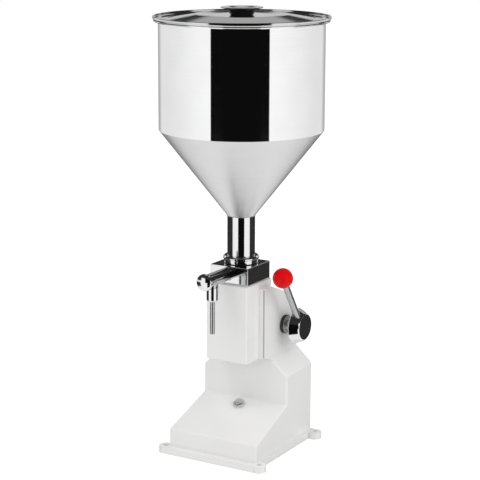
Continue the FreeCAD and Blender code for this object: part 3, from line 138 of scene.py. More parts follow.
class Graph:
    """A node tree that is filled by expressions."""

    def __init__(self, tree: bpy.types.NodeTree) -> None:
        """Takes a tree and empties it."""
        self.tree = tree
        self.tree.nodes.clear()

    def node(self, kind: str, inputs: dict[Any, Any] | None = None, output: int | str = 0, **settings: Any) -> Socket:
        """Adds a node.

        Args:
            kind: The node's type.
            inputs: Values or sockets by the input's name or number.
            output: Which output to return.
            settings: The node's own settings, set first.

        Returns:
            The chosen output.
        """
        made = self.tree.nodes.new(kind)
        for key, value in settings.items():
            setattr(made, key, value)
        for key, value in (inputs or {}).items():
            if isinstance(value, Socket):
                self.tree.links.new(value.link, made.inputs[key])
            else:
                made.inputs[key].default_value = value
        return Socket(self, made.outputs[output] if len(made.outputs) else None)

    def maths(self, operation: str, *values: Any) -> Socket:
        """Adds a Math node on sockets or numbers."""
        return self.node("ShaderNodeMath", dict(enumerate(values)), operation=operation)

    def blend(self, factor: Socket, first: Any, second: Any) -> Socket:
        """Mixes two colours by a factor. A number is a grey."""
        tones: dict[int, Any] = {0: factor}
        for place, tone in ((6, first), (7, second)):
            if isinstance(tone, float):
                tone = (tone, tone, tone)
            tones[place] = tone if isinstance(tone, Socket) else (*tone, 1.0)
        return self.node("ShaderNodeMix", tones, 2, data_type="RGBA")

    def noise(self, spot: Socket, scale: float, detail: float = 2.0) -> Socket:
        """Gives plain noise from 0 to 1."""
        return self.node("ShaderNodeTexNoise", {"Vector": spot, "Scale": scale, "Detail": detail})

    def parts(self, spot: Socket) -> list[Socket]:
        """Splits a vector into its three parts."""
        return [self.node("ShaderNodeSeparateXYZ", {0: spot}, place) for place in range(3)]

    def stretched(self, spot: Socket, centre: Point, scale: Point = (1.0, 1.0, 1.0)) -> Socket:
        """Moves the coordinates to a centre in mm and stretches them by a scale for each axis."""
        start = tuple(value * MM for value in centre)
        shifted = self.node("ShaderNodeVectorMath", {0: spot, 1: start}, operation="SUBTRACT")
        return self.node("ShaderNodeVectorMath", {0: shifted, 1: scale}, operation="MULTIPLY")

    def surface(self, colour: Socket, rough: Socket, height: Socket, bump: Span, **more: float) -> None:
        """Ends a material's tree in its surface.

        Args:
            colour: The base colour.
            rough: The roughness.
            height: What raises the bumps, from 0 to 1.
            bump: The bumps' strength, and their height in mm.
            more: The surface's other inputs, by their names with underscores.
        """
        inputs: dict[str, Any] = {name.replace("_", " "): value for name, value in more.items()}
        inputs |= {"Base Color": colour, "Roughness": rough}
        inputs["Normal"] = self.node("ShaderNodeBump", {
            "Strength": bump[0], "Distance": bump[1] * MM, "Height": height})
        made = self.node("ShaderNodeBsdfPrincipled", inputs)
        self.node("ShaderNodeOutputMaterial", {"Surface": made})


def new_material(name: str) -> tuple[Material, Graph]:
    """Makes an empty material and the graph that fills it."""
    material = bpy.data.materials.new(name)
    material.use_nodes = True
    return material, Graph(material.node_tree)


# Finishes


class Grain(Enum):
    """How a metal surface was worked."""

    TURNED_UP = "rings round an upright axis"
    TURNED_FRONT = "rings round an axis to the front"
    TURNED_SIDE = "rings round an axis to the side"
    GROUND = "fine strokes along the front to back line"
    BLASTED = "no visible direction"


@dataclass(frozen=True)
class Finish:
    """What every finish has: its material's name, its tone and its roughness."""

    name: str
    tone: Colour
    roughness: float

    def dimmed(self, share: float) -> Colour:
        """Gives a share of the tone."""
        return tuple(value * share for value in self.tone)

    def fill(self, graph: Graph, spot: Socket) -> None:
        """Fills the material's graph.

        Args:
            graph: The empty graph.
            spot: The object coordinates, in metres.
        """
        raise NotImplementedError

    def material(self) -> Material:
        """Builds the material."""
        material, graph = new_material(self.name)
        self.fill(graph, graph.node("ShaderNodeTexCoord", output="Object"))
        return material


@dataclass(frozen=True)
class Steel(Finish):
    """A worked metal: how sharply it mirrors and the marks of its working."""

    grain: Grain = Grain.BLASTED
    centre: Point = (0.0, AXIS_Y, 0.0)
    pitch: float = 0.25
    relief: float = 0.004
    smear: float = 0.05
    # how far from the axis the painted dark reflection on the rim starts, in mm, and how soft its edge is
    rim: float = 0.0
    dark_reflection_soft: float = 0.3
    sharpest: float = 0.015
    clouds: float = 22.0
    specks: float = 900.0

    def strokes(self, graph: Graph, spot: Socket) -> Socket:
        """Gives the working marks.

        Args:
            graph: The material's graph.
            spot: The object coordinates.

        Returns:
            Noise from 0 to 1 that is long along the working direction.
        """
        fine = 1.0 / (self.pitch * MM)
        if self.grain is Grain.GROUND:
            return graph.noise(graph.stretched(spot, self.centre, (fine, fine * 0.02, fine)), 1.0)
        if self.grain is Grain.BLASTED:
            return graph.noise(spot, fine, 3.0)
        axis = {Grain.TURNED_SIDE: 0, Grain.TURNED_FRONT: 1, Grain.TURNED_UP: 2}[self.grain]
        reach, along = self.reach(graph, spot, axis)
        rings = graph.node("ShaderNodeCombineXYZ", {0: reach * fine, 1: along * fine})
        return graph.noise(rings, 1.0, 3.0)

    def reach(self, graph: Graph, spot: Socket, axis: int) -> tuple[Socket, Socket]:
        """Gives the distance from an axis through the centre, and the place along it."""
        parts = graph.parts(graph.stretched(spot, self.centre))
        along = parts.pop(axis)
        return (parts[0] * parts[0] + parts[1] * parts[1]) ** 0.5, along

    def fill(self, graph: Graph, spot: Socket) -> None:
        """Fills the metal's graph, with a painted dark reflection on its rim where it has one."""
        strokes = self.strokes(graph, spot)
        cloud = graph.noise(spot, self.clouds, 3.0)
        specks = graph.noise(spot, self.specks).ease(0.62, 0.75)
        colour = graph.blend((strokes * 0.6 + cloud * 0.4).ease(0.3, 0.7), self.dimmed(0.93), self.tone)
        rough = self.roughness + (cloud - 0.5) * self.smear + (strokes - 0.5) * self.smear + specks * self.smear * 0.4
        # painted reflection: past the rim's reach the tone is darkened to stand in for the dark surroundings that
        # polished steel mirrors
        if self.rim:
            reach, _ = self.reach(graph, spot, 0)
            edge = reach.ease((self.rim - self.dark_reflection_soft) * MM, (self.rim + self.dark_reflection_soft) * MM)
            colour = graph.blend(edge, colour, self.dimmed(0.1))
        rough = graph.maths("MAXIMUM", rough, self.sharpest)
        graph.surface(colour, rough, strokes, (1.0, self.relief), Metallic=1.0)


@dataclass(frozen=True)
class Enamel(Finish):
    """Thick white stoving enamel over a casting, with a faint orange peel."""

    peel: float = 2.2
    relief: float = 0.012
    # where the painted shade line of the gap between the cover's flange and the column lies, in mm
    joint_x: float = 45.0
    joint_y: float = -7.9
    joint_half: float = 1.5
    joint_low: float = 168.5
    joint_high: float = 292.0
    swells: float = 18.0
    clouds: float = 9.0
    yellowing: Colour = (0.985, 0.98, 0.97)

    def joint(self, graph: Graph, spot: Socket) -> Socket:
        """Gives the painted shade line in the narrow gap between the cover's flange and the column."""
        side, depth, height = graph.parts(spot)
        line = abs((depth - self.joint_y * MM) * (1.0 / MM)).ease(self.joint_half + 0.6, self.joint_half - 0.6)
        near = line * abs(side).ease((self.joint_x - 1.0) * MM, self.joint_x * MM)
        above = height.ease(self.joint_low * MM, (self.joint_low + 2.0) * MM)
        return near * above * height.ease(self.joint_high * MM, (self.joint_high - 2.0) * MM)

    def fill(self, graph: Graph, spot: Socket) -> None:
        """Fills the enamel's graph."""
        peel = graph.noise(spot, 1.0 / (self.peel * MM))
        swell = graph.noise(spot, self.swells, 1.0)
        cloud = graph.noise(spot, self.clouds, 3.0)
        warm = tuple(value * share for value, share in zip(self.tone, self.yellowing))
        colour = graph.blend(cloud.ease(0.35, 0.75), self.tone, warm)
        # painted shade: the narrow gap between the cover's flange and the column darkened as if in its shadow
        colour = graph.blend(self.joint(graph, spot), colour, self.dimmed(0.5))
        rough = self.roughness + (cloud - 0.5) * 0.06 + (peel - 0.5) * 0.05
        graph.surface(colour, rough, peel + swell * 3.0, (0.6, self.relief), Coat_Weight=0.25, Coat_Roughness=0.18)


@dataclass(frozen=True)
class Moulded(Finish):
    """A moulded or machined plastic or rubber, with fine pores and faint handling marks."""

    coat: float = 0.0
    grain: float = 0.8
    relief: float = 0.004
    shine: float = 0.5
    wear: float = 1.0
    clouds: float = 40.0
    scuffs: Point = (900.0, 120.0, 300.0)

    def fill(self, graph: Graph, spot: Socket) -> None:
        """Fills the plastic's graph."""
        grain = graph.noise(spot, 1.0 / (self.grain * MM), 3.0)
        cloud = graph.noise(spot, self.clouds)
        scuffs = graph.noise(graph.stretched(spot, (0.0, 0.0, 0.0), self.scuffs), 1.0).ease(0.6, 0.8)
        worn = tuple(min(1.0, value * 1.12 + 0.004) for value in self.tone)
        colour = graph.blend(cloud.ease(0.45, 0.8) * self.wear, self.tone, worn)
        rough = self.roughness + (grain - 0.5) * 0.04 + scuffs * 0.06 * self.wear
        graph.surface(colour, rough, grain, (0.5, self.relief), Specular_IOR_Level=self.shine,
                      Coat_Weight=self.coat, Coat_Roughness=0.03)


@dataclass(frozen=True)
class Finishes:
    """Every finish on the filler, made once and shared by the pieces."""

    enamel: Enamel = Enamel("white_enamel", (0.885, 0.885, 0.88), 0.34)
    mirror: Steel = Steel("mirror_bowl", (0.95, 0.95, 0.955), 0.03, Grain.TURNED_UP, relief=0.0004, smear=0.02)
    cone: Steel = Steel("satin_cone", (0.79, 0.79, 0.795), 0.38, Grain.TURNED_UP, pitch=0.6, relief=0.002,
                        smear=0.03)
    lid: Steel = Steel("polished_lid", (0.72, 0.72, 0.725), 0.1, Grain.TURNED_UP, pitch=0.5, relief=0.001)
    chrome_up: Steel = Steel("chrome_upright", (0.9, 0.9, 0.905), 0.05, Grain.TURNED_UP, relief=0.001, smear=0.03)
    chrome_front: Steel = Steel("chrome_outlet", (0.88, 0.88, 0.885), 0.08, Grain.TURNED_FRONT,
                                (0.0, 0.0, OUTLET_Z), 0.4)
    casting: Steel = Steel("polished_casting", (0.62, 0.62, 0.63), 0.12, pitch=3.0, relief=0.09, smear=0.08)
    chrome_side: Steel = Steel("chrome_hub", (0.86, 0.86, 0.865), 0.07, Grain.TURNED_SIDE,
                               (0.0, SHAFT_Y, SHAFT_Z), 0.3, 0.002, 0.04)
    block: Steel = Steel("polished_block", (0.88, 0.88, 0.885), 0.07, Grain.GROUND, pitch=0.4, relief=0.002)
    nozzle: Steel = Steel("nozzle_steel", (0.66, 0.66, 0.67), 0.3, Grain.TURNED_UP, (0.0, NOZZLE_Y, 0.0))
    rod: Steel = Steel("satin_rod", (0.52, 0.52, 0.53), 0.26, Grain.GROUND, pitch=0.3)
    # the bearing's rim carries a painted dark reflection
    turned_side: Steel = Steel("turned_bearing", (0.8, 0.8, 0.805), 0.48, Grain.TURNED_SIDE,
                               (0.0, SHAFT_Y, SHAFT_Z), 0.4, 0.006, rim=15.6)
    plain: Steel = Steel("machined_steel", (0.6, 0.6, 0.61), 0.3, Grain.TURNED_UP, pitch=0.35)
    zinc: Steel = Steel("zinc_plate", (0.84, 0.85, 0.86), 0.42, pitch=0.7)
    dark: Steel = Steel("blackened_steel", (0.06, 0.06, 0.065), 0.35, pitch=0.6)
    cast: Steel = Steel("cast_iron", (0.2, 0.2, 0.21), 0.5, pitch=1.2, relief=0.03)
    red: Moulded = Moulded("red_ball_plastic", (0.72, 0.001, 0.003), 0.25, 0.04, 0.4, 0.0001, 0.15, 0.2)
    black: Moulded = Moulded("black_knob_plastic", (0.02, 0.02, 0.022), 0.3)
    white: Moulded = Moulded("white_pump_plastic", (0.83, 0.83, 0.81), 0.42)
    rubber: Moulded = Moulded("seal_rubber", (0.045, 0.045, 0.045), 0.6, 0.0, 0.5, 0.01)


class Palette:
    """Makes each finish's material on its first use."""

    def __init__(self, finishes: Finishes) -> None:
        """Keeps the finishes."""
        self.finishes = finishes
        self.made: dict[str, Material] = {}

    def __getattr__(self, name: str) -> Material:
        """Gives the material of a finish by its field name."""
        finish = getattr(self.finishes, name)
        if name not in self.made:
            self.made[name] = finish.material()
        return self.made[name]


# Objects and meshes


def placed(name: str, data: Any) -> Piece:
    """Puts a new object into the scene."""
    piece = bpy.data.objects.new(name, data)
    bpy.context.scene.collection.objects.link(piece)
    return piece


def shaped(piece: Piece) -> Mesh:
    """Gives the mesh that a piece's modifiers make."""
    return bpy.data.meshes.new_from_object(piece.evaluated_get(bpy.context.evaluated_depsgraph_get()))


@contextmanager
def editing(mesh: Mesh) -> Iterator[bmesh.types.BMesh]:
    """Opens a mesh for its changes and writes it back."""
    form = bmesh.new()
    form.from_mesh(mesh)
    yield form
    form.to_mesh(mesh)
    form.free()


def primitive(name: str, create: Callable[..., Any], place: Matrix, **sizes: Any) -> Mesh:
    """Makes a simple mesh.

    Args:
        name: The mesh's name.
        create: The operator of bmesh that makes it.
        place: What moves and stretches it, in metres.
        sizes: The operator's settings.

    Returns:
        The mesh.
    """
    mesh = bpy.data.meshes.new(name)
    with editing(mesh) as form:
        create(form, **sizes)
    mesh.transform(place)
    return mesh


def milled(name: str, profile_at: Callable[[float], Profile], around: int, capped: bool) -> Mesh:
    """Makes a form whose profile changes with the angle round its upright axis.

    Args:
        name: The mesh's name.
        profile_at: Gives the profile in mm at an angle in radians.
        around: How many angles there are.
        capped: Whether flat faces end the profile, or else its ends are joined.

    Returns:
        The mesh.
    """
    angles = [math.tau * i / around for i in range(around)]
    columns = [profile_at(a) for a in angles]
    rows = len(columns[0])
    points = [(column[row][0] * math.cos(a) * MM, column[row][0] * math.sin(a) * MM, column[row][1] * MM)
              for row in range(rows) for a, column in zip(angles, columns)]
    faces = []
    for row in range(rows - 1 if capped else rows):
        low, high = row * around, (row + 1) % rows * around
        faces += [(low + i, low + (i + 1) % around, high + (i + 1) % around, high + i) for i in range(around)]
    if capped:
        faces += [tuple(range(around - 1, -1, -1)), tuple(range((rows - 1) * around, rows * around))]
    mesh = bpy.data.meshes.new(name)
    mesh.from_pydata(points, [], faces)
    return mesh


def hexagon_reach(half: float, angle: float) -> float:
    """Gives the distance from a hexagon's middle to its edge, from half its width across the flats."""
    return half / math.cos((angle + math.pi / 6) % (math.pi / 3) - math.pi / 6)


@dataclass(frozen=True)
class Screw:
    """A socket screw. Its sizes in mm are those of its head, half its socket's width, and its shank."""

    radius: float
    height: float
    socket: float
    shank: float
    length: float
    around: int = 24

    def profile(self, angle: float) -> Profile:
        """Gives the profile at an angle, from the shank's end to the socket's bottom, with the head upwards."""
        edge = min(self.height * 0.25, self.radius * 0.15)
        inner = hexagon_reach(self.socket, angle)
        return [(self.shank * 0.8, -self.length), (self.shank, -self.length + self.shank * 0.2), (self.shank, 0.0),
                (self.radius, 0.0), (self.radius, self.height - edge), (self.radius - edge, self.height),
                (inner, self.height), (inner, self.height * 0.4)]

    def form(self, name: str) -> Piece:
        """Makes the screw, with the head's underside at zero."""
        return placed(name, milled(name, self.profile, self.around, True))


# Profiles and places


def guarded(profile: Profile, gap: float = 0.5) -> Profile:
    """Adds a point near each end of a long straight run, so that it stays flat when it is shaded.

    Args:
        profile: The closed profile, in mm.
        gap: How far from its ends a run gets its points.

    Returns:
        The profile with the added points.
    """
    points: Profile = []
    for i, here in enumerate(profile):
        ahead = profile[(i + 1) % len(profile)]
        length = math.dist(here, ahead)
        points.append(tuple(here))
        if length > gap * 5:
            for share in (gap / length, 1.0 - gap / length):
                points.append((here[0] + (ahead[0] - here[0]) * share, here[1] + (ahead[1] - here[1]) * share))
    return points


def rounded(corners: Sequence[tuple[float, ...]], steps: int = 5) -> Profile:
    """Rounds the corners of a closed profile.

    Args:
        corners: Distance from the axis, place along it and, for a rounded corner, its radius.
        steps: How many short runs a rounding gets.

    Returns:
        The profile's points in order.
    """
    points: Profile = []
    for i, corner in enumerate(corners):
        here = Vector(corner[:2])
        if len(corner) < 3:
            points.append(tuple(here))
            continue
        back = Vector(corners[i - 1][:2]) - here
        ahead = Vector(corners[(i + 1) % len(corners)][:2]) - here
        reach = min(corner[2] / math.tan(back.angle(ahead) / 2), back.length * 0.48, ahead.length * 0.48)
        start = here + back.normalized() * reach
        end = here + ahead.normalized() * reach
        for step in range(steps + 1):
            t = step / steps
            points.append(tuple(start * (1 - t) ** 2 + here * (2 * t * (1 - t)) + end * t ** 2))
    return points


def arc(middle: Span, radius: float, start: float, end: float, steps: int) -> Profile:
    """Gives points on an arc.

    Args:
        middle: Its middle in the profile, in mm.
        radius: Its radius.
        start: The angle of its first point, in degrees.
        end: The angle of its last point.
        steps: How many short runs it has.

    Returns:
        The points in order.
    """
    angles = [math.radians(start + (end - start) * step / steps) for step in range(steps + 1)]
    return [(middle[0] + radius * math.cos(a), middle[1] + radius * math.sin(a)) for a in angles]


def upright(x: float, y: float, z: float) -> Matrix:
    """Places an upright axis at a spot in mm."""
    return Matrix.Translation(Vector((x, y, z)) * MM)


def on_axis(z: float = 0.0) -> Matrix:
    """Places the hopper's axis at a height in mm."""
    return upright(0.0, AXIS_Y, z)


def frontward(x: float, y: float, z: float) -> Matrix:
    """Places an axis that runs to the front from a spot in mm."""
    return upright(x, y, z) @ Matrix.Rotation(math.pi / 2, 4, "X")


# The workshop


class FormTree(Graph):
    """A Geometry Nodes tree with named inputs for its sizes."""

    def __init__(self, name: str, entries: dict[str, str]) -> None:
        """Makes the tree and its inputs.

        Args:
            name: The tree's name.
            entries: The kind of socket by the name of each input.
        """
        super().__init__(bpy.data.node_groups.new(name, "GeometryNodeTree"))
        self.identifiers: dict[str, str] = {}
        for entry, kind in {"Base": "Geometry", **entries, "Finish": "Material"}.items():
            item = self.tree.interface.new_socket(entry, in_out="INPUT", socket_type="NodeSocket" + kind)
            self.identifiers[entry] = item.identifier
        self.tree.interface.new_socket("Result", in_out="OUTPUT", socket_type="NodeSocketGeometry")
        self.source = self.tree.nodes.new("NodeGroupInput")

    def entry(self, name: str) -> Socket:
        """Gives a named input."""
        return Socket(self, self.source.outputs[name])

    def close(self, result: Socket) -> "FormTree":
        """Ends the tree in real geometry with its finish, and gives the tree."""
        solid = self.node("GeometryNodeRealizeInstances", {0: result})
        dressed = self.node("GeometryNodeSetMaterial", {"Geometry": solid, "Material": self.entry("Finish")})
        self.node("NodeGroupOutput", {0: dressed})
        return self

    def bake(self, name: str, points: Sequence[Point], sizes: dict[str, Any]) -> Mesh:
        """Runs the tree on loose points.

        Args:
            name: The name of the new mesh.
            points: The points that the tree starts from, in mm.
            sizes: The value of each named input.

        Returns:
            A plain mesh.
        """
        base = bpy.data.meshes.new(name + "_base")
        base.from_pydata([tuple(value * MM for value in point) for point in points], [], [])
        carrier = placed(name + "_carrier", base)
        modifier = carrier.modifiers.new("form", "NODES")
        modifier.node_group = self.tree
        for key, value in sizes.items():
            modifier[self.identifiers[key]] = value
        mesh = shaped(carrier)
        mesh.name = name
        bpy.data.objects.remove(carrier)
        return mesh


def turning_tree() -> FormTree:
    """Builds the tree that turns a profile round the upright axis."""
    form = FormTree("turned_form", {"Around": "Int"})
    base, around = form.entry("Base"), form.entry("Around")
    rows = form.node("GeometryNodeAttributeDomainSize", {0: base}, component="MESH")
    grid = form.node("GeometryNodeMeshGrid", {"Vertices X": around + 1.0, "Vertices Y": rows})
    index = form.node("GeometryNodeInputIndex")
    column = form.maths("FLOOR", (index + 0.5) / rows)
    spot = form.node("GeometryNodeSampleIndex", {
        "Geometry": base, "Value": form.node("GeometryNodeInputPosition"),
        "Index": form.maths("MODULO", index, rows)}, data_type="FLOAT_VECTOR")
    turned = form.node("ShaderNodeVectorRotate", {"Vector": spot, "Angle": column * math.tau / around},
                       rotation_type="Z_AXIS")
    moved = form.node("GeometryNodeSetPosition", {"Geometry": grid, "Position": turned})
    return form.close(form.node("GeometryNodeMergeByDistance", {"Geometry": moved, "Distance": SAME_SPOT}))


def coiling_tree() -> FormTree:
    """Builds the tree that winds a round wire along an upright helix."""
    form = FormTree("coiled_wire", {"Turns": "Float", "Radius": "Float", "Length": "Float", "Wire": "Float"})
    spiral = form.node("GeometryNodeCurveSpiral", {
        "Resolution": 40, "Rotations": form.entry("Turns"), "Start Radius": form.entry("Radius"),
        "End Radius": form.entry("Radius"), "Height": form.entry("Length")})
    ring = form.node("GeometryNodeCurvePrimitiveCircle", {"Resolution": 10, "Radius": form.entry("Wire")})
    return form.close(form.node("GeometryNodeCurveToMesh", {"Curve": spiral, "Profile Curve": ring, "Fill Caps": True}))


def repeating_tree() -> FormTree:
    """Builds the tree that sets one form on every point, turned about its own axis by chance."""
    form = FormTree("repeated_form", {"Form": "Object", "Facing": "Rotation"})
    shape = form.node("GeometryNodeObjectInfo", {"Object": form.entry("Form")}, "Geometry")
    chance = form.node("FunctionNodeRandomValue", {2: 0.0, 3: math.tau, "Seed": SPIN_SEED}, 1, data_type="FLOAT")
    about = form.node("ShaderNodeCombineXYZ", {2: chance})
    spin = form.node("FunctionNodeEulerToRotation", {0: about})
    turn = form.node("FunctionNodeRotateRotation", {0: form.entry("Facing"), 1: spin}, rotation_space="LOCAL")
    spots = form.node("GeometryNodeMeshToPoints", {0: form.entry("Base")})
    return form.close(form.node("GeometryNodeInstanceOnPoints", {"Points": spots, "Instance": shape, "Rotation": turn}))


class Workshop:
    """The trees and tools that turn, coil, repeat, bore and copy the pieces."""

    def __init__(self, nodes: dict[str, Piece]) -> None:
        """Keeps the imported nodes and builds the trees."""
        self.nodes = nodes
        self.turning = turning_tree()
        self.coiling = coiling_tree()
        self.repeating = repeating_tree()

    @staticmethod
    def piece(mesh: Mesh, place: Matrix, sharp: float) -> Piece:
        """Puts a mesh in its place and shades it smooth up to an angle.

        Args:
            mesh: The mesh, which gets its place.
            place: Where it goes, in metres.
            sharp: Edges that turn by more degrees than this stay sharp.

        Returns:
            The new object, at the origin.
        """
        mesh.transform(place)
        with editing(mesh) as form:
            bmesh.ops.recalc_face_normals(form, faces=form.faces)
            for face in form.faces:
                face.smooth = True
            for edge in form.edges:
                edge.smooth = len(edge.link_faces) == 2 and edge.calc_face_angle() < math.radians(sharp)
        return placed(mesh.name, mesh)

    def turn(self, name: str, profile: Profile, place: Matrix, finish: Material, around: int = 128,
             sharp: float = SHARP) -> Piece:
        """Turns a closed profile.

        Args:
            name: The piece's name.
            profile: Distance from the axis and place along it, in mm.
            place: Where the axis goes, in metres.
            finish: The piece's material.
            around: How many steps the turn has.
            sharp: The angle in degrees past which an edge is sharp.

        Returns:
            The piece.
        """
        points = [(reach, 0.0, along) for reach, along in guarded(profile)]
        mesh = self.turning.bake(name, [*points, points[0]], {"Around": around, "Finish": finish})
        return self.piece(mesh, place, sharp)

    def coil(self, name: str, sizes: dict[str, float], place: Matrix, finish: Material) -> Piece:
        """Winds a wire along an axis, with its sizes in metres by their names in the tree."""
        return self.piece(self.coiling.bake(name, [], {**sizes, "Finish": finish}), place, 60.0)

    def repeat(self, name: str, form: Piece, spots: Sequence[Point], tilt: float, finish: Material) -> Piece:
        """Sets one form on every spot.

        Args:
            name: The piece's name.
            form: The object that is repeated, which is used up.
            spots: Where it goes, in mm.
            tilt: How far its upright axis leans over to the back, in degrees.
            finish: The material.

        Returns:
            One piece with every copy.
        """
        sizes = {"Form": form, "Facing": (math.radians(tilt), 0.0, 0.0), "Finish": finish}
        mesh = self.repeating.bake(name, spots, sizes)
        bpy.data.objects.remove(form)
        return self.piece(mesh, Matrix.Identity(4), SHARP)

    def bore(self, piece: Piece, cutter: Piece) -> Piece:
        """Cuts a form out of a piece. Both are used up, and the bored piece has the old name."""
        modifier = piece.modifiers.new("bore", "BOOLEAN")
        modifier.operation = "DIFFERENCE"
        modifier.solver = "EXACT"
        modifier.object = cutter
        mesh, name = shaped(piece), piece.name
        for used in (piece, cutter):
            old = used.data
            bpy.data.objects.remove(used)
            bpy.data.meshes.remove(old)
        mesh.name = name
        return self.piece(mesh, Matrix.Identity(4), SHARP)

    def copy(self, name: str, node: str, finish: Material, sharp: float = 32.0) -> Piece:
        """Copies a CAD node's mesh, joins its loose triangles and shades it smooth.

        Args:
            name: The piece's name.
            node: The CAD node.
            finish: The material.
            sharp: The angle in degrees past which an edge is sharp.

        Returns:
            The piece.
        """
        mesh = self.nodes[node].data.copy()
        mesh.name = name
        with editing(mesh) as form:
            bmesh.ops.remove_doubles(form, verts=form.verts, dist=SAME_SPOT)
        mesh.materials.clear()
        mesh.materials.append(finish)
        piece = self.piece(mesh, Matrix.Identity(4), sharp)
        modifier = piece.modifiers.new("large_faces_first", "WEIGHTED_NORMAL")
        modifier.keep_sharp = True
        piece.data = shaped(piece)
        piece.modifiers.remove(modifier)
        bpy.data.meshes.remove(mesh)
        piece.data.name = name
        return piece


def settle(piece: Piece, body: str, slot: str, *nodes: str) -> Piece:
    """Hangs a piece on the empty of the body that it rides on, and hides the CAD nodes that it replaces."""
    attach(piece, body)
    if nodes:
        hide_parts(*nodes)
    log.info("%s rides on %s", piece.name, body)
    return piece


# Camera and studio


@dataclass
class Viewpoint:
    """The photograph's camera, in metres and degrees."""

    spot: Point = (1.3880, -2.3238, 0.9793)
    tilt: float = 77.37
    roll: float = 0.17
    lens: float = 120.2
    sensor: float = 36.0
    nearest: float = 0.05

    def build(self) -> None:
        """Makes the camera and sets it as the scene's."""
        data = bpy.data.cameras.new("viewpoint")
        data.lens = self.lens
        data.sensor_width = self.sensor
        data.clip_start = self.nearest
        camera = placed("viewpoint", data)
        turn = Matrix.Identity(4)
        for angle, axis in ((HEADING, "Z"), (self.tilt, "X"), (self.roll, "Z")):
            turn = turn @ Matrix.Rotation(math.radians(angle), 4, axis)
        camera.matrix_world = Matrix.Translation(self.spot) @ turn
        bpy.context.scene.camera = camera
        log.info("camera with a %.1f mm lens", self.lens)


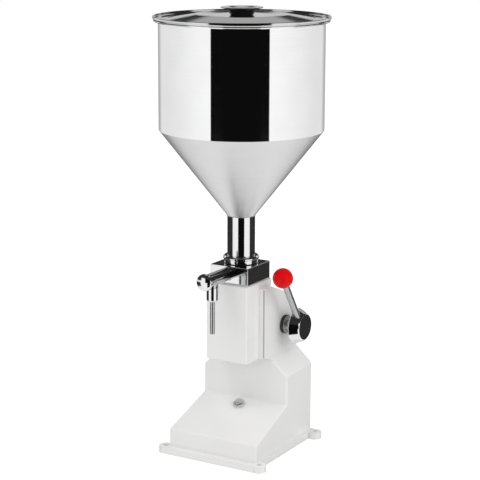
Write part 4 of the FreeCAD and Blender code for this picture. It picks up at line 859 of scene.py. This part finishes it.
@dataclass
class Studio:
    """A white sweep, soft lamps and the dark panels that give polished steel its edges.

    Turns and rises are directions in degrees. A turn is 0 at the camera's side and 180 behind the object.
    """

    fill: float = 0.78
    panel: float = 0.004
    charcoal: float = 0.03
    shade: float = 0.06
    grey: float = 0.26
    slope: float = 0.46
    light: float = 0.62
    table: float = 0.95
    band_soft: float = 0.6
    behind_turn: Span = (140.0, 160.0)
    shade_rise: Span = (-4.0, 1.5)
    light_rise: Span = (1.5, 9.5)
    charcoal_rise: Span = (9.5, 17.0)
    slope_rise: Span = (17.0, 36.0)
    slope_soft: Span = (2.0, 4.0)
    low_rise: Span = (-9.4, -10.2)
    wide_turn: Span = (-42.7, 38.0)
    narrow_turn: float = 26.0
    narrow_soft: float = 0.8
    fall_turn: float = 40.0
    fall_width: float = 90.0
    fall_rise: float = -3.0
    fall_share: float = 0.5
    side_turn: Span = (73.0, 77.0)
    side_rise: Span = (-32.0, -26.0)
    above_rise: Span = (16.0, 23.0)
    above_turn: float = 128.0
    above_soft: float = 16.0
    top_rise: Span = (36.0, 42.0)
    beside_turn: Span = (66.0, 76.0)
    beside_end: float = 142.0
    beside_soft: float = 10.0
    beside_rise: Span = (-2.5, -0.5)
    table_rise: Span = (-44.0, -50.0)
    floor_matte: float = 0.8
    floor_shown: float = 0.4
    floor_radius: float = 9.0
    floor_depth: float = 0.4

    def reflections(self, graph: Graph) -> Socket:
        """Gives the tones that polished steel mirrors, by their direction."""
        x, y, z = graph.parts(graph.node("ShaderNodeTexCoord", output="Generated"))
        a = math.radians(HEADING)
        ahead = x * math.sin(a) - y * math.cos(a)
        across = x * math.cos(a) + y * math.sin(a)
        turn = graph.maths("ARCTAN2", across, ahead) * math.degrees(1.0)
        rise = graph.maths("ARCSINE", z) * math.degrees(1.0)
        away = abs(turn)
        # behind the object, from the table up: dark, light, charcoal and grey in turn
        behind = away.ease(*self.behind_turn)
        tone = graph.blend(behind, 1.0, self.grey)
        for span, shade in ((self.shade_rise, self.shade), (self.light_rise, self.light),
                            (self.charcoal_rise, self.charcoal)):
            tone = graph.blend(rise.within(*span, self.band_soft) * behind, tone, shade)
        fall = (away - self.fall_turn).ease(0.0, self.fall_width) * (self.fall_rise - rise).ease(0.0, 1.0)
        tone = graph.blend(fall * self.fall_share, tone, self.light)
        # the hopper's rays fall by 4 to 9 degrees, those of the neck, block and hub by 10 to 20
        low = rise.ease(*self.low_rise)
        wide = graph.blend(turn.within(*self.wide_turn, self.band_soft), 0.0, 1.0)
        narrow = graph.blend((self.narrow_turn - away).ease(-self.narrow_soft, self.narrow_soft), 0.0, 1.0)
        tone = graph.blend(graph.blend(low, wide, narrow), tone, self.panel)
        sides = away.ease(*self.side_turn) * low * rise.ease(*self.side_rise)
        tone = graph.blend(sides, tone, self.charcoal)
        above = rise.ease(*self.above_rise) * (self.above_turn - away).ease(-self.above_soft, self.above_soft)
        above = graph.maths("MAXIMUM", above, rise.ease(*self.top_rise))
        beside = away.ease(*self.beside_turn) * (self.beside_end - away).ease(0.0, self.beside_soft)
        above = graph.maths("MAXIMUM", above, beside * rise.ease(*self.beside_rise))
        tone = graph.blend(above, tone, self.charcoal)
        foot, head = self.slope_rise
        slope = rise.ease(foot, foot + self.slope_soft[0]) * (head - rise).ease(0.0, self.slope_soft[1]) * behind
        tone = graph.blend(slope, tone, self.slope)
        return graph.blend(rise.ease(*self.table_rise), tone, self.table)

    def surroundings(self) -> None:
        """Builds the world: white to the camera, even to matte paint and a studio to polished steel."""
        world = bpy.data.worlds.new("studio")
        world.use_nodes = True
        bpy.context.scene.world = world
        world.cycles.sampling_method = "NONE"
        graph = Graph(world.node_tree)
        tone = self.reflections(graph)
        glossy = graph.node("ShaderNodeLightPath", output="Is Glossy Ray")
        camera = graph.node("ShaderNodeLightPath", output="Is Camera Ray")
        seen = graph.blend(camera, graph.blend(glossy, self.fill, tone), 1.0)
        background = graph.node("ShaderNodeBackground", {"Color": seen, "Strength": 1.0})
        graph.node("ShaderNodeOutputWorld", {"Surface": background})

    def floor(self) -> None:
        """Lays the white floor, which keeps a faint shadow of the object."""
        place = Matrix.Translation((0.0, 0.0, -self.floor_depth * MM))
        mesh = primitive("studio_floor", bmesh.ops.create_circle, place, cap_ends=True, segments=96,
                         radius=self.floor_radius)
        material, graph = new_material("studio_floor")
        camera = graph.node("ShaderNodeLightPath", output="Is Camera Ray")
        white = (self.floor_matte, self.floor_matte, self.floor_matte, 1.0)
        faint = (self.floor_shown, self.floor_shown, self.floor_shown, 1.0)
        matte = graph.node("ShaderNodeBsdfDiffuse", {"Color": white})
        glow = graph.node("ShaderNodeEmission", {"Color": white, "Strength": 1.0})
        shown = graph.node("ShaderNodeAddShader", {0: graph.node("ShaderNodeBsdfDiffuse", {"Color": faint}), 1: glow})
        surface = graph.node("ShaderNodeMixShader", {0: camera, 1: matte, 2: shown})
        graph.node("ShaderNodeOutputMaterial", {"Surface": surface})
        mesh.materials.append(material)
        floor = placed("studio_floor", mesh)
        floor.visible_glossy = False

    @staticmethod
    def lamp(name: str, spot: Point, aim: Point, size: float, power: float) -> None:
        """Hangs a soft lamp that polished steel doesn't mirror.

        Args:
            name: The lamp's name.
            spot: Where it hangs, in metres.
            aim: The point that it faces.
            size: The width of its square face.
            power: Its power in watts.
        """
        data = bpy.data.lights.new(name, "AREA")
        data.size = size
        data.energy = power
        lamp = placed(name, data)
        turn = (Vector(aim) - Vector(spot)).to_track_quat("-Z", "Y").to_matrix().to_4x4()
        lamp.matrix_world = Matrix.Translation(spot) @ turn
        lamp.visible_glossy = False

    def build(self) -> None:
        """Builds the whole studio."""
        self.surroundings()
        self.floor()
        self.lamp("lamp_right", (2.2, -0.6, 1.5), (0.0, 0.0, 0.2), 1.4, 14.0)
        self.lamp("lamp_over", (-0.4, -1.4, 2.4), (0.0, 0.0, 0.3), 1.2, 10.0)
        log.info("studio with two soft lamps")


# The filler


@dataclass
class Part:
    """A group of pieces, with the workshop and the finishes that it uses. Sizes are in mm."""

    shop: Workshop
    look: Palette

    def build(self) -> None:
        """Builds the group's pieces."""
        raise NotImplementedError


@dataclass
class Stand(Part):
    """The base plate, the casting on it, its covers and the screws that hold them."""

    small: Screw = Screw(3.8, 2.4, 1.3, 2.0, 8.0)
    large: Screw = Screw(5.5, 5.5, 2.5, 3.0, 16.5)
    cover_screw_x: float = 14.0
    cover_screw_y: float = -1.3
    cover_screw_z: float = 166.7
    rear_screw_x: float = 33.5
    rear_screw_low: float = 64.5
    rear_screw_high: float = 200.5
    rear_face_y: float = 109.7
    base_screw_x: float = 72.8
    base_screw_front: float = -88.6
    base_screw_back: float = 97.2
    base_screw_z: float = 5.8

    def build(self) -> None:
        """Builds the enamelled pieces, and sets the screws of the covers and of the base plate."""
        for node in ("base_plate", "stand_casting", "front_cover", "rear_cover"):
            settle(self.shop.copy(node + "_enamelled", node, self.look.enamel), "stand", "white_paint", node)
        for name, screw, x, places, tilt in (
                ("front_cover_screw", self.small, self.cover_screw_x,
                 [(self.cover_screw_y, self.cover_screw_z)], 180.0),
                ("rear_cover_screw", self.small, self.rear_screw_x,
                 [(self.rear_face_y, self.rear_screw_low), (self.rear_face_y, self.rear_screw_high)], -90.0),
                ("base_screw", self.large, self.base_screw_x,
                 [(self.base_screw_front, self.base_screw_z), (self.base_screw_back, self.base_screw_z)], 180.0)):
            spots = [(side * x, y, z) for side in (-1, 1) for y, z in places]
            screws = self.shop.repeat(name + "_set", screw.form(name + "_form"), spots, tilt, self.look.zinc)
            settle(screws, "stand", "zinc_screws", name + "s")


@dataclass
class StopScrew(Part):
    """The slotted stop screw and its lock nut on the platform's slope."""

    y: float = -7.0
    z: float = 76.18
    slope: float = 19.8
    flats: float = 19.0
    chamfer: float = 28.0
    nut_thick: float = 5.5
    nut_around: int = 72
    nut_sharp: float = 22.0
    bore: float = 5.0
    turn: float = 12.0
    head_radius: float = 7.6
    head_thick: float = 3.6
    slot_half: float = 0.8
    shank: float = 26.0

    def nut_profile(self, angle: float) -> Profile:
        """Gives the nut's profile at an angle in radians, with its turned chamfers."""
        reach = hexagon_reach(self.flats / 2, angle)
        flat = min(reach, self.flats / 2 * 1.02)
        drop = (reach - flat) * math.tan(math.radians(self.chamfer))
        top = self.nut_thick
        return [(self.bore, 0.0), (flat, 0.0), (reach, drop), (reach, top - drop), (flat, top), (self.bore, top)]

    def build(self) -> None:
        """Builds the screw and its nut, square to the slope."""
        zinc = self.look.zinc
        place = upright(0.0, self.y, self.z) @ Matrix.Rotation(math.radians(self.slope), 4, "X")
        nut = milled("stop_nut_chamfered", self.nut_profile, self.nut_around, False)
        nut.materials.append(zinc)
        turned = place @ Matrix.Rotation(math.radians(self.turn), 4, "Z")
        settle(self.shop.piece(nut, turned, self.nut_sharp), "stand", "zinc_screws", "stop_nut")
        low = self.nut_thick
        high = low + self.head_thick
        profile = rounded([
            (0.0, -self.shank), (self.bore - 1.0, -self.shank), (self.bore, 1.0 - self.shank), (self.bore, low),
            (self.head_radius, low, 0.3), (self.head_radius, high, 1.2), (0.0, high)])
        screw = self.shop.turn("stop_screw_slotted", profile, place, zinc, 64)
        stretch = Matrix.Diagonal((self.head_radius * 4 * MM, self.slot_half * 2 * MM, self.head_thick * MM, 1.0))
        slot = primitive("slot_cutter", bmesh.ops.create_cube, place @ upright(0.0, 0.0, high) @ stretch, size=1.0)
        settle(self.shop.bore(screw, placed("slot_cutter", slot)), "stand", "zinc_screws", "stop_screw")


@dataclass
class Head(Part):
    """The valve block on the stand, with the collar that takes the hopper."""

    block_top: float = 334.5
    bore: float = 7.0
    spigot: float = 15.0
    spigot_length: float = 6.0
    band: float = 29.7
    radius: float = 31.4
    band_height: float = 8.2
    height: float = 13.4
    neck: float = 24.1
    ledge: float = 20.0
    seat: float = 6.0

    def build(self) -> None:
        """Builds the block and the collar."""
        settle(self.shop.copy("valve_block_polished", "valve_block", self.look.block, 40.0), "stand", "satin_steel",
               "valve_block")
        profile = rounded([
            (self.bore, -self.spigot_length), (self.spigot, -self.spigot_length, 0.5), (self.spigot, 1.0),
            (self.band, 1.0, 0.4), (self.band, self.band_height - 0.8, 0.4), (self.band - 0.7, self.band_height - 0.4),
            (self.radius, self.band_height, 0.6), (self.radius, self.height - 2.6, 0.8),
            (self.radius - 2.6, self.height, 0.6), (self.neck, self.height, 0.4),
            (self.neck, self.height - self.seat), (self.ledge, self.height - self.seat), (self.bore, 2.0)])
        settle(self.shop.turn("hopper_collar_turned", profile, on_axis(self.block_top), self.look.chrome_up),
               "stand", "satin_steel", "hopper_collar")


@dataclass
class Hopper(Part):
    """The mirror bowl with its rolled rim, the satin cone below it and the neck pipe."""

    neck_radius: float = 24.0
    neck_wall: float = 1.5
    neck_low: float = 342.0
    cone_low: float = 417.6
    cone_high: float = 567.2
    radius: float = 141.2
    wall: float = 1.2
    rim_high: float = 753.0
    bead_drop: float = 3.4
    bead_centre: float = 147.4
    bead_radius: float = 1.6
    weld_count: int = 150
    weld_width: float = 1.2
    weld_height: float = 0.55

    def weld(self) -> None:
        """Builds the ripples of the fine weld between the cone and the neck."""
        size = Matrix.Diagonal((self.weld_width * MM, self.weld_width * MM, self.weld_height * MM, 1.0))
        ripple = primitive("weld_ripple", bmesh.ops.create_icosphere, size, subdivisions=1, radius=1.0)
        reach = self.neck_radius - 0.1
        angles = [math.tau * i / self.weld_count for i in range(self.weld_count)]
        spots = [(reach * math.cos(a), AXIS_Y + reach * math.sin(a), self.cone_low) for a in angles]
        weld = self.shop.repeat("hopper_neck_weld", placed("weld_ripple", ripple), spots, 0.0, self.look.cone)
        settle(weld, "stand", "satin_cone")

    def build(self) -> None:
        """Builds the neck, the cone, its weld and the bowl."""
        inner, outer = self.neck_radius - self.neck_wall, self.neck_radius
        profile = rounded([(inner, self.neck_low), (outer, self.neck_low, 0.4), (outer, self.cone_low),
                           (inner, self.cone_low)])
        settle(self.shop.turn("hopper_neck_pipe", profile, on_axis(), self.look.chrome_up), "stand",
               "polished_steel", "hopper_neck")
        inside = self.radius - self.wall
        profile = rounded([(inner, self.cone_low), (outer, self.cone_low), (outer + 0.5, self.cone_low + 0.3, 3.0),
                           (self.radius, self.cone_high), (inside, self.cone_high)])
        settle(self.shop.turn("hopper_cone_satin", profile, on_axis(), self.look.cone, 192), "stand",
               "satin_cone", "hopper_cone")
        self.weld()
        bead = arc((self.bead_centre, self.rim_high - self.bead_radius), self.bead_radius, -110.0, 90.0, 18)
        profile = rounded([(self.radius, self.cone_high), (self.radius, self.rim_high - self.bead_drop, 0.8), *bead,
                           (inside, self.rim_high), (inside, self.cone_high)])
        settle(self.shop.turn("hopper_bowl_mirror", profile, on_axis(), self.look.mirror, 256, 40.0), "stand",
               "polished_steel", "hopper_bowl")


@dataclass
class Lid(Part):
    """The pressed lid with its locating ring, black knob and steel disc."""

    radius: float = 150.3
    under: float = 753.0
    edge_top: float = 758.8
    edge_wide: float = 2.4
    groove_z: float = 754.4
    groove_radius: float = 125.0
    crown_z: float = 762.2
    crown_radius: float = 79.0
    dish_z: float = 760.4
    dish_radius: float = 52.0
    sheet: float = 1.1
    ring_radius: float = 136.5
    ring_depth: float = 9.0
    knob_radius: float = 25.0
    knob_waist: float = 19.0
    knob_height: float = 11.4
    disc_radius: float = 36.0
    disc_thick: float = 2.0
    disc_rise: float = 1.4

    def build(self) -> None:
        """Builds the lid's sheet, its locating ring, its tapered knob and the disc on the knob."""
        inner, below = self.radius - self.edge_wide, self.sheet
        profile = rounded([
            (0.0, self.dish_z - below), (self.dish_radius, self.dish_z - below, 3.0),
            (self.crown_radius, self.crown_z - below, 12.0), (self.groove_radius, self.under, 6.0),
            (self.radius - 1.0, self.under, 0.8), (self.radius, self.under + 1.6, 1.4),
            (self.radius, self.edge_top, 1.1), (inner, self.edge_top, 1.1), (inner, self.groove_z, 2.0),
            (self.groove_radius, self.groove_z, 8.0), (self.crown_radius, self.crown_z, 14.0),
            (self.dish_radius, self.dish_z, 4.0), (0.0, self.dish_z)], 7)
        settle(self.shop.turn("hopper_lid_pressed", profile, on_axis(), self.look.lid, 192, 40.0), "lid",
               "polished_steel", "hopper_lid")
        outer, low = self.ring_radius, self.under - self.ring_depth
        profile = rounded([(outer - below, low, 0.4), (outer, low, 0.4), (outer, self.under),
                           (outer - below, self.under)])
        settle(self.shop.turn("lid_ring_turned", profile, on_axis(), self.look.lid, 192), "lid",
               "polished_steel", "lid_ring")
        top = self.knob_height
        profile = rounded([(0.0, 0.0), (self.knob_waist, 0.0, 0.4), (self.knob_radius, top - 2.2, 1.2),
                           (self.knob_radius, top, 0.4), (0.0, top)])
        settle(self.shop.turn("lid_knob_waisted", profile, on_axis(self.dish_z), self.look.black, 96), "lid",
               "black_plastic", "lid_knob")
        edge, thick = self.disc_radius, self.disc_thick
        profile = rounded([
            (0.0, 0.0), (edge - 0.6, 0.0, 0.4), (edge, thick / 2, 0.8), (edge - 1.6, thick, 0.8),
            (edge * 0.7, thick + 0.2, 6.0), (edge * 0.45, thick + self.disc_rise, 6.0),
            (0.0, thick + self.disc_rise)])
        settle(self.shop.turn("knob_disc_spun", profile, on_axis(self.dish_z + top), self.look.lid), "lid",
               "polished_steel", "knob_cap")


@dataclass
class Outlet(Part):
    """The side outlet, its domed cap and check valve, and the nozzle under it."""

    z: float = OUTLET_Z
    end_y: float = -119.0
    bore: float = 7.9
    cap_radius: float = 14.7
    cap_edge: float = 3.4
    cap_rise: float = 6.4
    cap_steps: int = 14
    thread_length: float = 6.0
    spring_radius: float = 4.6
    spring_wire: float = 0.5
    spring_turns: float = 9.0
    poppet_travel: float = 6.4
    holder_high: float = 308.4
    holder_low: float = 284.8
    holder_radius: float = 10.2
    boss_radius: float = 7.0
    boss_length: float = 6.0
    tube_seat: float = 10.0
    nozzle_low: float = 227.9
    nozzle_radius: float = 4.3
    nozzle_wall: float = 1.0

    def barrel(self) -> None:
        """Builds the barrel and its domed cap."""
        settle(self.shop.copy("outlet_barrel_polished", "outlet_barrel", self.look.casting, 40.0), "stand",
               "satin_steel", "outlet_barrel")
        dome = [(self.cap_radius * math.cos(a), self.cap_edge + self.cap_rise * math.sin(a))
                for a in (math.pi / 2 * step / self.cap_steps for step in range(self.cap_steps))]
        profile = [(0.0, -self.thread_length), (self.bore, -self.thread_length), (self.bore, 0.0),
                   (self.cap_radius - 0.8, 0.0), (self.cap_radius, 0.8), *dome,
                   (0.0, self.cap_edge + self.cap_rise)]
        place = frontward(0.0, self.end_y, self.z)
        settle(self.shop.turn("outlet_cap_domed", profile, place, self.look.chrome_front, 96), "stand",
               "polished_steel", "outlet_cap")

    def spring(self) -> None:
        """Winds the check valve's spring and gives it a mesh of its own."""
        low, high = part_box("outlet_spring")
        start = high[1] / MM - self.spring_wire
        end = low[1] / MM + self.spring_wire
        length = start - end
        sizes = {"Radius": self.spring_radius * MM, "Length": length * MM, "Wire": self.spring_wire * MM,
                 "Turns": self.spring_turns}
        spring = self.shop.coil("outlet_spring_wound", sizes, frontward(0.0, start, self.z), self.look.rod)
        settle(spring, "stand", "satin_steel", "outlet_spring")
        self.z * MM
        1.0 - self.poppet_travel / length
        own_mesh(spring)

    def nozzle(self) -> None:
        """Builds the nozzle's holder and tube."""
        tube = self.nozzle_radius
        inner = tube - self.nozzle_wall
        top = self.holder_high - self.holder_low
        profile = rounded([
            (inner, 0.0), (tube + 0.1, 0.0), (self.holder_radius - 3.0, 0.0, 0.5), (self.holder_radius, 3.0, 0.8),
            (self.holder_radius, top, 0.3), (self.boss_radius, top), (self.boss_radius, top + self.boss_length),
            (tube, top + self.boss_length), (tube, self.tube_seat), (inner, self.tube_seat)])
        place = upright(0.0, NOZZLE_Y, self.holder_low)
        settle(self.shop.turn("nozzle_holder_turned", profile, place, self.look.chrome_up, 96), "stand",
               "satin_steel", "nozzle_holder")
        tall = self.holder_low - self.nozzle_low
        profile = rounded([(inner, 0.0, 0.2), (tube, 0.0, 0.3), (tube, tall), (inner, tall)])
        place = upright(0.0, NOZZLE_Y, self.nozzle_low)
        settle(self.shop.turn("nozzle_tube_drawn", profile, place, self.look.nozzle, 64), "stand",
               "satin_steel", "nozzle_tube")

    def build(self) -> None:
        """Builds the outlet's pieces."""
        self.barrel()
        self.spring()
        self.nozzle()


@dataclass
class LeverDrive(Part):
    """The bearings of the shaft across the column, the hub and the ball lever."""

    shaft_radius: float = 8.0
    hub_inner_x: float = 75.2
    hub_inner_radius: float = 31.6
    hub_outer_radius: float = 24.1
    hub_length: float = 17.7
    hub_bore_depth: float = 13.0
    drill_radius: float = 3.0
    drill_length: float = 32.0
    lever_angle: float = 33.2
    lever_length: float = 121.0
    rod_radius: float = 6.0
    rod_start: float = 13.0
    rod_in_ball: float = 13.0
    ball_radius: float = 17.7

    def hub(self, middle: float) -> None:
        """Builds the hub as a turned cone with a recess for its set screw, drilled at its middle."""
        inner, outer, high = self.hub_inner_radius, self.hub_outer_radius, self.hub_length
        profile = rounded([
            (0.0, self.hub_bore_depth), (self.shaft_radius, self.hub_bore_depth), (self.shaft_radius, 0.0, 0.5),
            (inner - 0.2, 0.0, 0.8), (inner, 1.2, 0.9), (outer + 0.2, high - 1.8, 1.2), (outer - 1.8, high, 0.6),
            (0.0, high)])
        place = upright(self.hub_inner_x, SHAFT_Y, SHAFT_Z) @ Matrix.Rotation(math.pi / 2, 4, "Y")
        hub = self.shop.turn("lever_hub_cone", profile, place, self.look.chrome_side)
        wide, tall = self.drill_radius, self.drill_length
        drill = rounded([(0.0, 0.0), (wide, 0.0), (wide, tall), (0.0, tall)])
        low = SHAFT_Z - self.shaft_radius - tall
        cutter = self.shop.turn("hub_drill", drill, upright(middle, SHAFT_Y, low), self.look.chrome_side, 24)
        settle(self.shop.bore(hub, cutter), "lever", "chrome_hub", "lever_hub")

    def build(self) -> None:
        """Builds the drive's pieces."""
        for node in ("right_bearing", "left_bearing"):
            settle(self.shop.copy(node + "_turned", node, self.look.turned_side, 30.0), "stand", "bearing_steel", node)
        middle = self.hub_inner_x + self.hub_length / 2
        self.hub(middle)
        place = upright(middle, SHAFT_Y, SHAFT_Z) @ Matrix.Rotation(math.radians(self.lever_angle), 4, "X")
        rod, start, end = self.rod_radius, self.rod_start, self.lever_length - self.ball_radius + self.rod_in_ball
        profile = rounded([(0.0, start), (rod - 0.3, start), (rod, start + 0.3), (rod, end), (0.0, end)])
        settle(self.shop.turn("lever_rod_turned", profile, place, self.look.rod, 64), "lever", "satin_steel",
               "lever_rod")
        centre = self.lever_length
        mouth = math.degrees(math.acos((rod + 0.8) / self.ball_radius))
        profile = [(rod, end), (rod, centre - self.ball_radius * 0.92),
                   *arc((0.0, centre), self.ball_radius, -mouth, 90.0, 40)[:-1],
                   (0.0, centre + self.ball_radius), (0.0, end)]
        ball = self.shop.turn("lever_ball_moulded", profile, place, self.look.red, 96)
        ball.visible_glossy = False
        settle(ball, "lever", "red_ball", "lever_ball")


@dataclass
class Inside(Part):
    """The pieces that keep their CAD forms, most of them inside the others."""

    def build(self) -> None:
        """Gives each of them its finish."""
        look = self.look
        for finish, nodes in (
                (look.zinc, ("block_screws", "knob_screw")),
                (look.rubber, ("hopper_seal", "cylinder_seal", "piston_rings", "outlet_seal")),
                (look.plain, ("inlet_cage", "cylinder_barrel", "piston_rod", "rod_pin")),
                (look.white, ("inlet_ball", "outlet_poppet", "piston_head")),
                (look.dark, ("bearing_screws", "shaft_clip", "arm_key", "hub_set_screw", "pin_clips")),
                (look.rod, ("drive_shaft",)), (look.cast, ("drive_arm",))):
            for place in (place for node in nodes for place in self.shop.nodes[node].material_slots):
                place.material = finish


def main() -> None:
    """Builds the scene."""
    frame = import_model()
    bpy.context.scene.view_settings.view_transform = "Standard"
    Viewpoint().build()
    Studio().build()
    shop = Workshop(frame["nodes"])
    look = Palette(Finishes())
    for kind in (Stand, StopScrew, Head, Hopper, Lid, Outlet, LeverDrive, Inside):
        kind(shop, look).build()
        log.info("%s done", kind.__name__)


if __name__ == "__main__":
    main()
